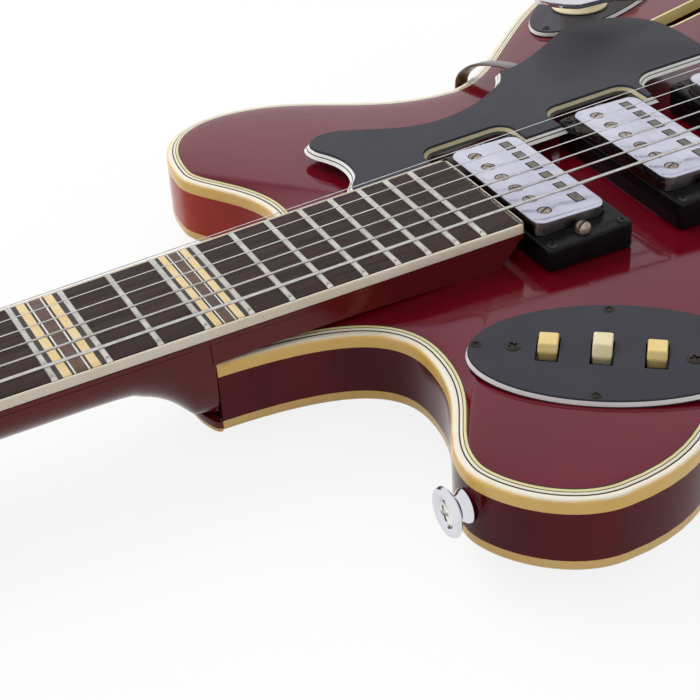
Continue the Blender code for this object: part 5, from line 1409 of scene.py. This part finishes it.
def addBridge():
    polished("bridge_base", "boardWood", 30, edge=0.0010)
    polished("bridge_saddle", "chromePlate", 30)
    low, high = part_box("bridge_saddle")
    x = (low.x + high.x) / 2
    lowSide, highSide = bridge["wheelSpan"]
    wheels = [settle(slab("wheel", ringLine(bridge["wheelTeeth"] * 40), low.z + lowSide, low.z + highSide),
                     at(x, side * bridge["posts"], 0)) for side in (-1, 1)]
    dress(joined(wheels, "bridgeWheels"), "brightMetal", 25)
    ahead, lift = bridge["screws"]
    setScrews("ringScrew", "saddleScrews",
              [at(x + ahead, bridge["spread"] * (k / 5 - 0.5), low.z + lift) @ facingTail for k in range(6)])


def addVibrato():
    polished("vibrato_base", "chromePlate", 30, edge=0.0005)
    polished("vibrato_bar", "chromePlate", 30)
    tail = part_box("vibrato_base")[1].x
    x, y, lift = vibrato["plateScrews"]
    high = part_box("body_top")[1].z + lift
    setScrews("strapScrew", "vibratoPlateScrews", [at(x, -y, high), at(x, y, high)])
    y, high = vibrato["tailScrews"]
    setScrews("tunerScrew", "vibratoTailScrews", [at(tail, side * y, high) @ facingTail for side in (-1, 1)])
    steps, radius = vibrato["springSteps"], vibrato["springRadius"]
    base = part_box("vibrato_bar")[0].z - vibrato["springHeight"]
    path = []
    for step in range(steps + 1):
        angle = 2 * math.pi * vibrato["springTurns"] * step / steps
        path.append((vibrato["springAt"] + radius * math.cos(angle), radius * math.sin(angle),
                     base + vibrato["springHeight"] * step / steps))
    dress(tubeAlong("returnSpring", path, vibrato["springWire"], 12), "poleSteel")

    pivot = jointPlace("arm_swing")
    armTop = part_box("vibrato_arm")[1].z
    startX, startY = arm["start"]
    path = [Vector((pivot.x + startX, pivot.y + startY, armTop - 0.001 - arm["radius"]))]
    for (x, y), rise in zip(arm["bends"], arm["levels"]):
        path.append(Vector((x - body["length"] / 2, y, body["topZ"] + rise)))
    line = curveThrough(path, 8)
    rod = tubeAlong("armRod", line, arm["radius"], 28)
    seat = pivot.z + arm["lug"] + 0.0004
    foot, widest, rim, flat = arm["collar"]
    collar = spun("armCollar", [(0, seat), (foot, seat), (widest, seat + 0.0006), (widest, armTop - 0.0018),
                                (rim, armTop - 0.0008), (flat, armTop), (0, armTop)], 40)
    settle(collar, at(pivot.x, pivot.y, 0))
    smooth(collar, 40)

    end, before = line[-1], line[-4]
    heading = math.atan2(end.y - before.y, end.x - before.x)
    dip = math.atan2(end.z - before.z, math.hypot(end.x - before.x, end.y - before.y))
    half = [(p.x, p.y) for p in curveThrough(arm["paddle"], 4)]
    outline = [(x, -y) for x, y in half] + half[::-1]
    blade = slab("armPaddle", outline, -arm["thick"] / 2, arm["thick"] / 2)
    soften(blade, 0.0011, 4, 50)
    smooth(blade, 40)
    lean = Matrix.Rotation(heading, 4, "Z") @ Matrix.Rotation(-dip * 0.4, 4, "Y")
    settle(blade, at(*end) @ lean)
    whole = joined([rod, collar, blade], "vibrato_arm_dressed")
    dress(whole, "chromePlate", rider="arm", stands=("vibrato_arm",))


# Strap buttons and the output jack
strap = {
    "profile": ((0, 0.0), (0.0054, 0.0), (0.0058, 0.0006), (0.0055, 0.0014), (0.0044, 0.0026),
                (0.0041, 0.0036),
                (0.0046, 0.0046), (0.0076, 0.0056), (0.0085, 0.0064), (0.0085, 0.0070), (0.0079, 0.0078),
                (0.0052, 0.0076), (0.0046, 0.0068), (0, 0.0066)),
    "horn": ((-0.1967, -0.1202, 0.02475), (0, -90, 0)),
    "tail": ((0.2400, 0.0, 0.0185), (0, 90, 0)),
    "screwAt": 0.0064,
}
jack = {
    "at": (0.090, 0.206, 0.02475),
    "nut": (0.0018, 0.0040),
    "flats": 0.0072,
    "hole": 0.0044,
}


def turned(x, y, z):
    return Euler([math.radians(a) for a in (x, y, z)]).to_matrix().to_4x4()


def addStrapButtons():
    for label in ("horn", "tail"):
        spot, angles = strap[label]
        place = at(*spot) @ turned(*angles)
        button = spun(f"strapButton_{label}", strap["profile"], 64)
        dress(button, "chromePlate", 40, place, stands=("strap_button_" + label,))
        setScrews("strapScrew", f"strapScrew_{label}", [place @ at(0, 0, strap["screwAt"])])


def addJack():
    polished("output_jack", "chromePlate", 40)
    nut = slab("jackNut", ringLine([jack["flats"]] * 6), *jack["nut"])
    carve(nut, pin("nutHole", jack["hole"], 0.02, 40))
    soften(nut, 0.0004, 2, 40)
    dress(nut, "brightMetal", 40, at(*jack["at"]) @ turned(-90, 0, 0))


addStrings()
for label in ("neck", "middle", "bridge"):
    addPickup(label)
addGuard()
addSwitches()
addControls()
addHead()
addBridge()
addVibrato()
addStrapButtons()
addJack()
for model in screwModels.values():
    bpy.data.objects.remove(model)
print("strings and hardware built")


# The nodes that stay as they are
kept = {
    "truss_rod": "poleSteel",
}
for node, look in kept.items():
    wear(nodes[node], look)
    smooth(nodes[node], 40)
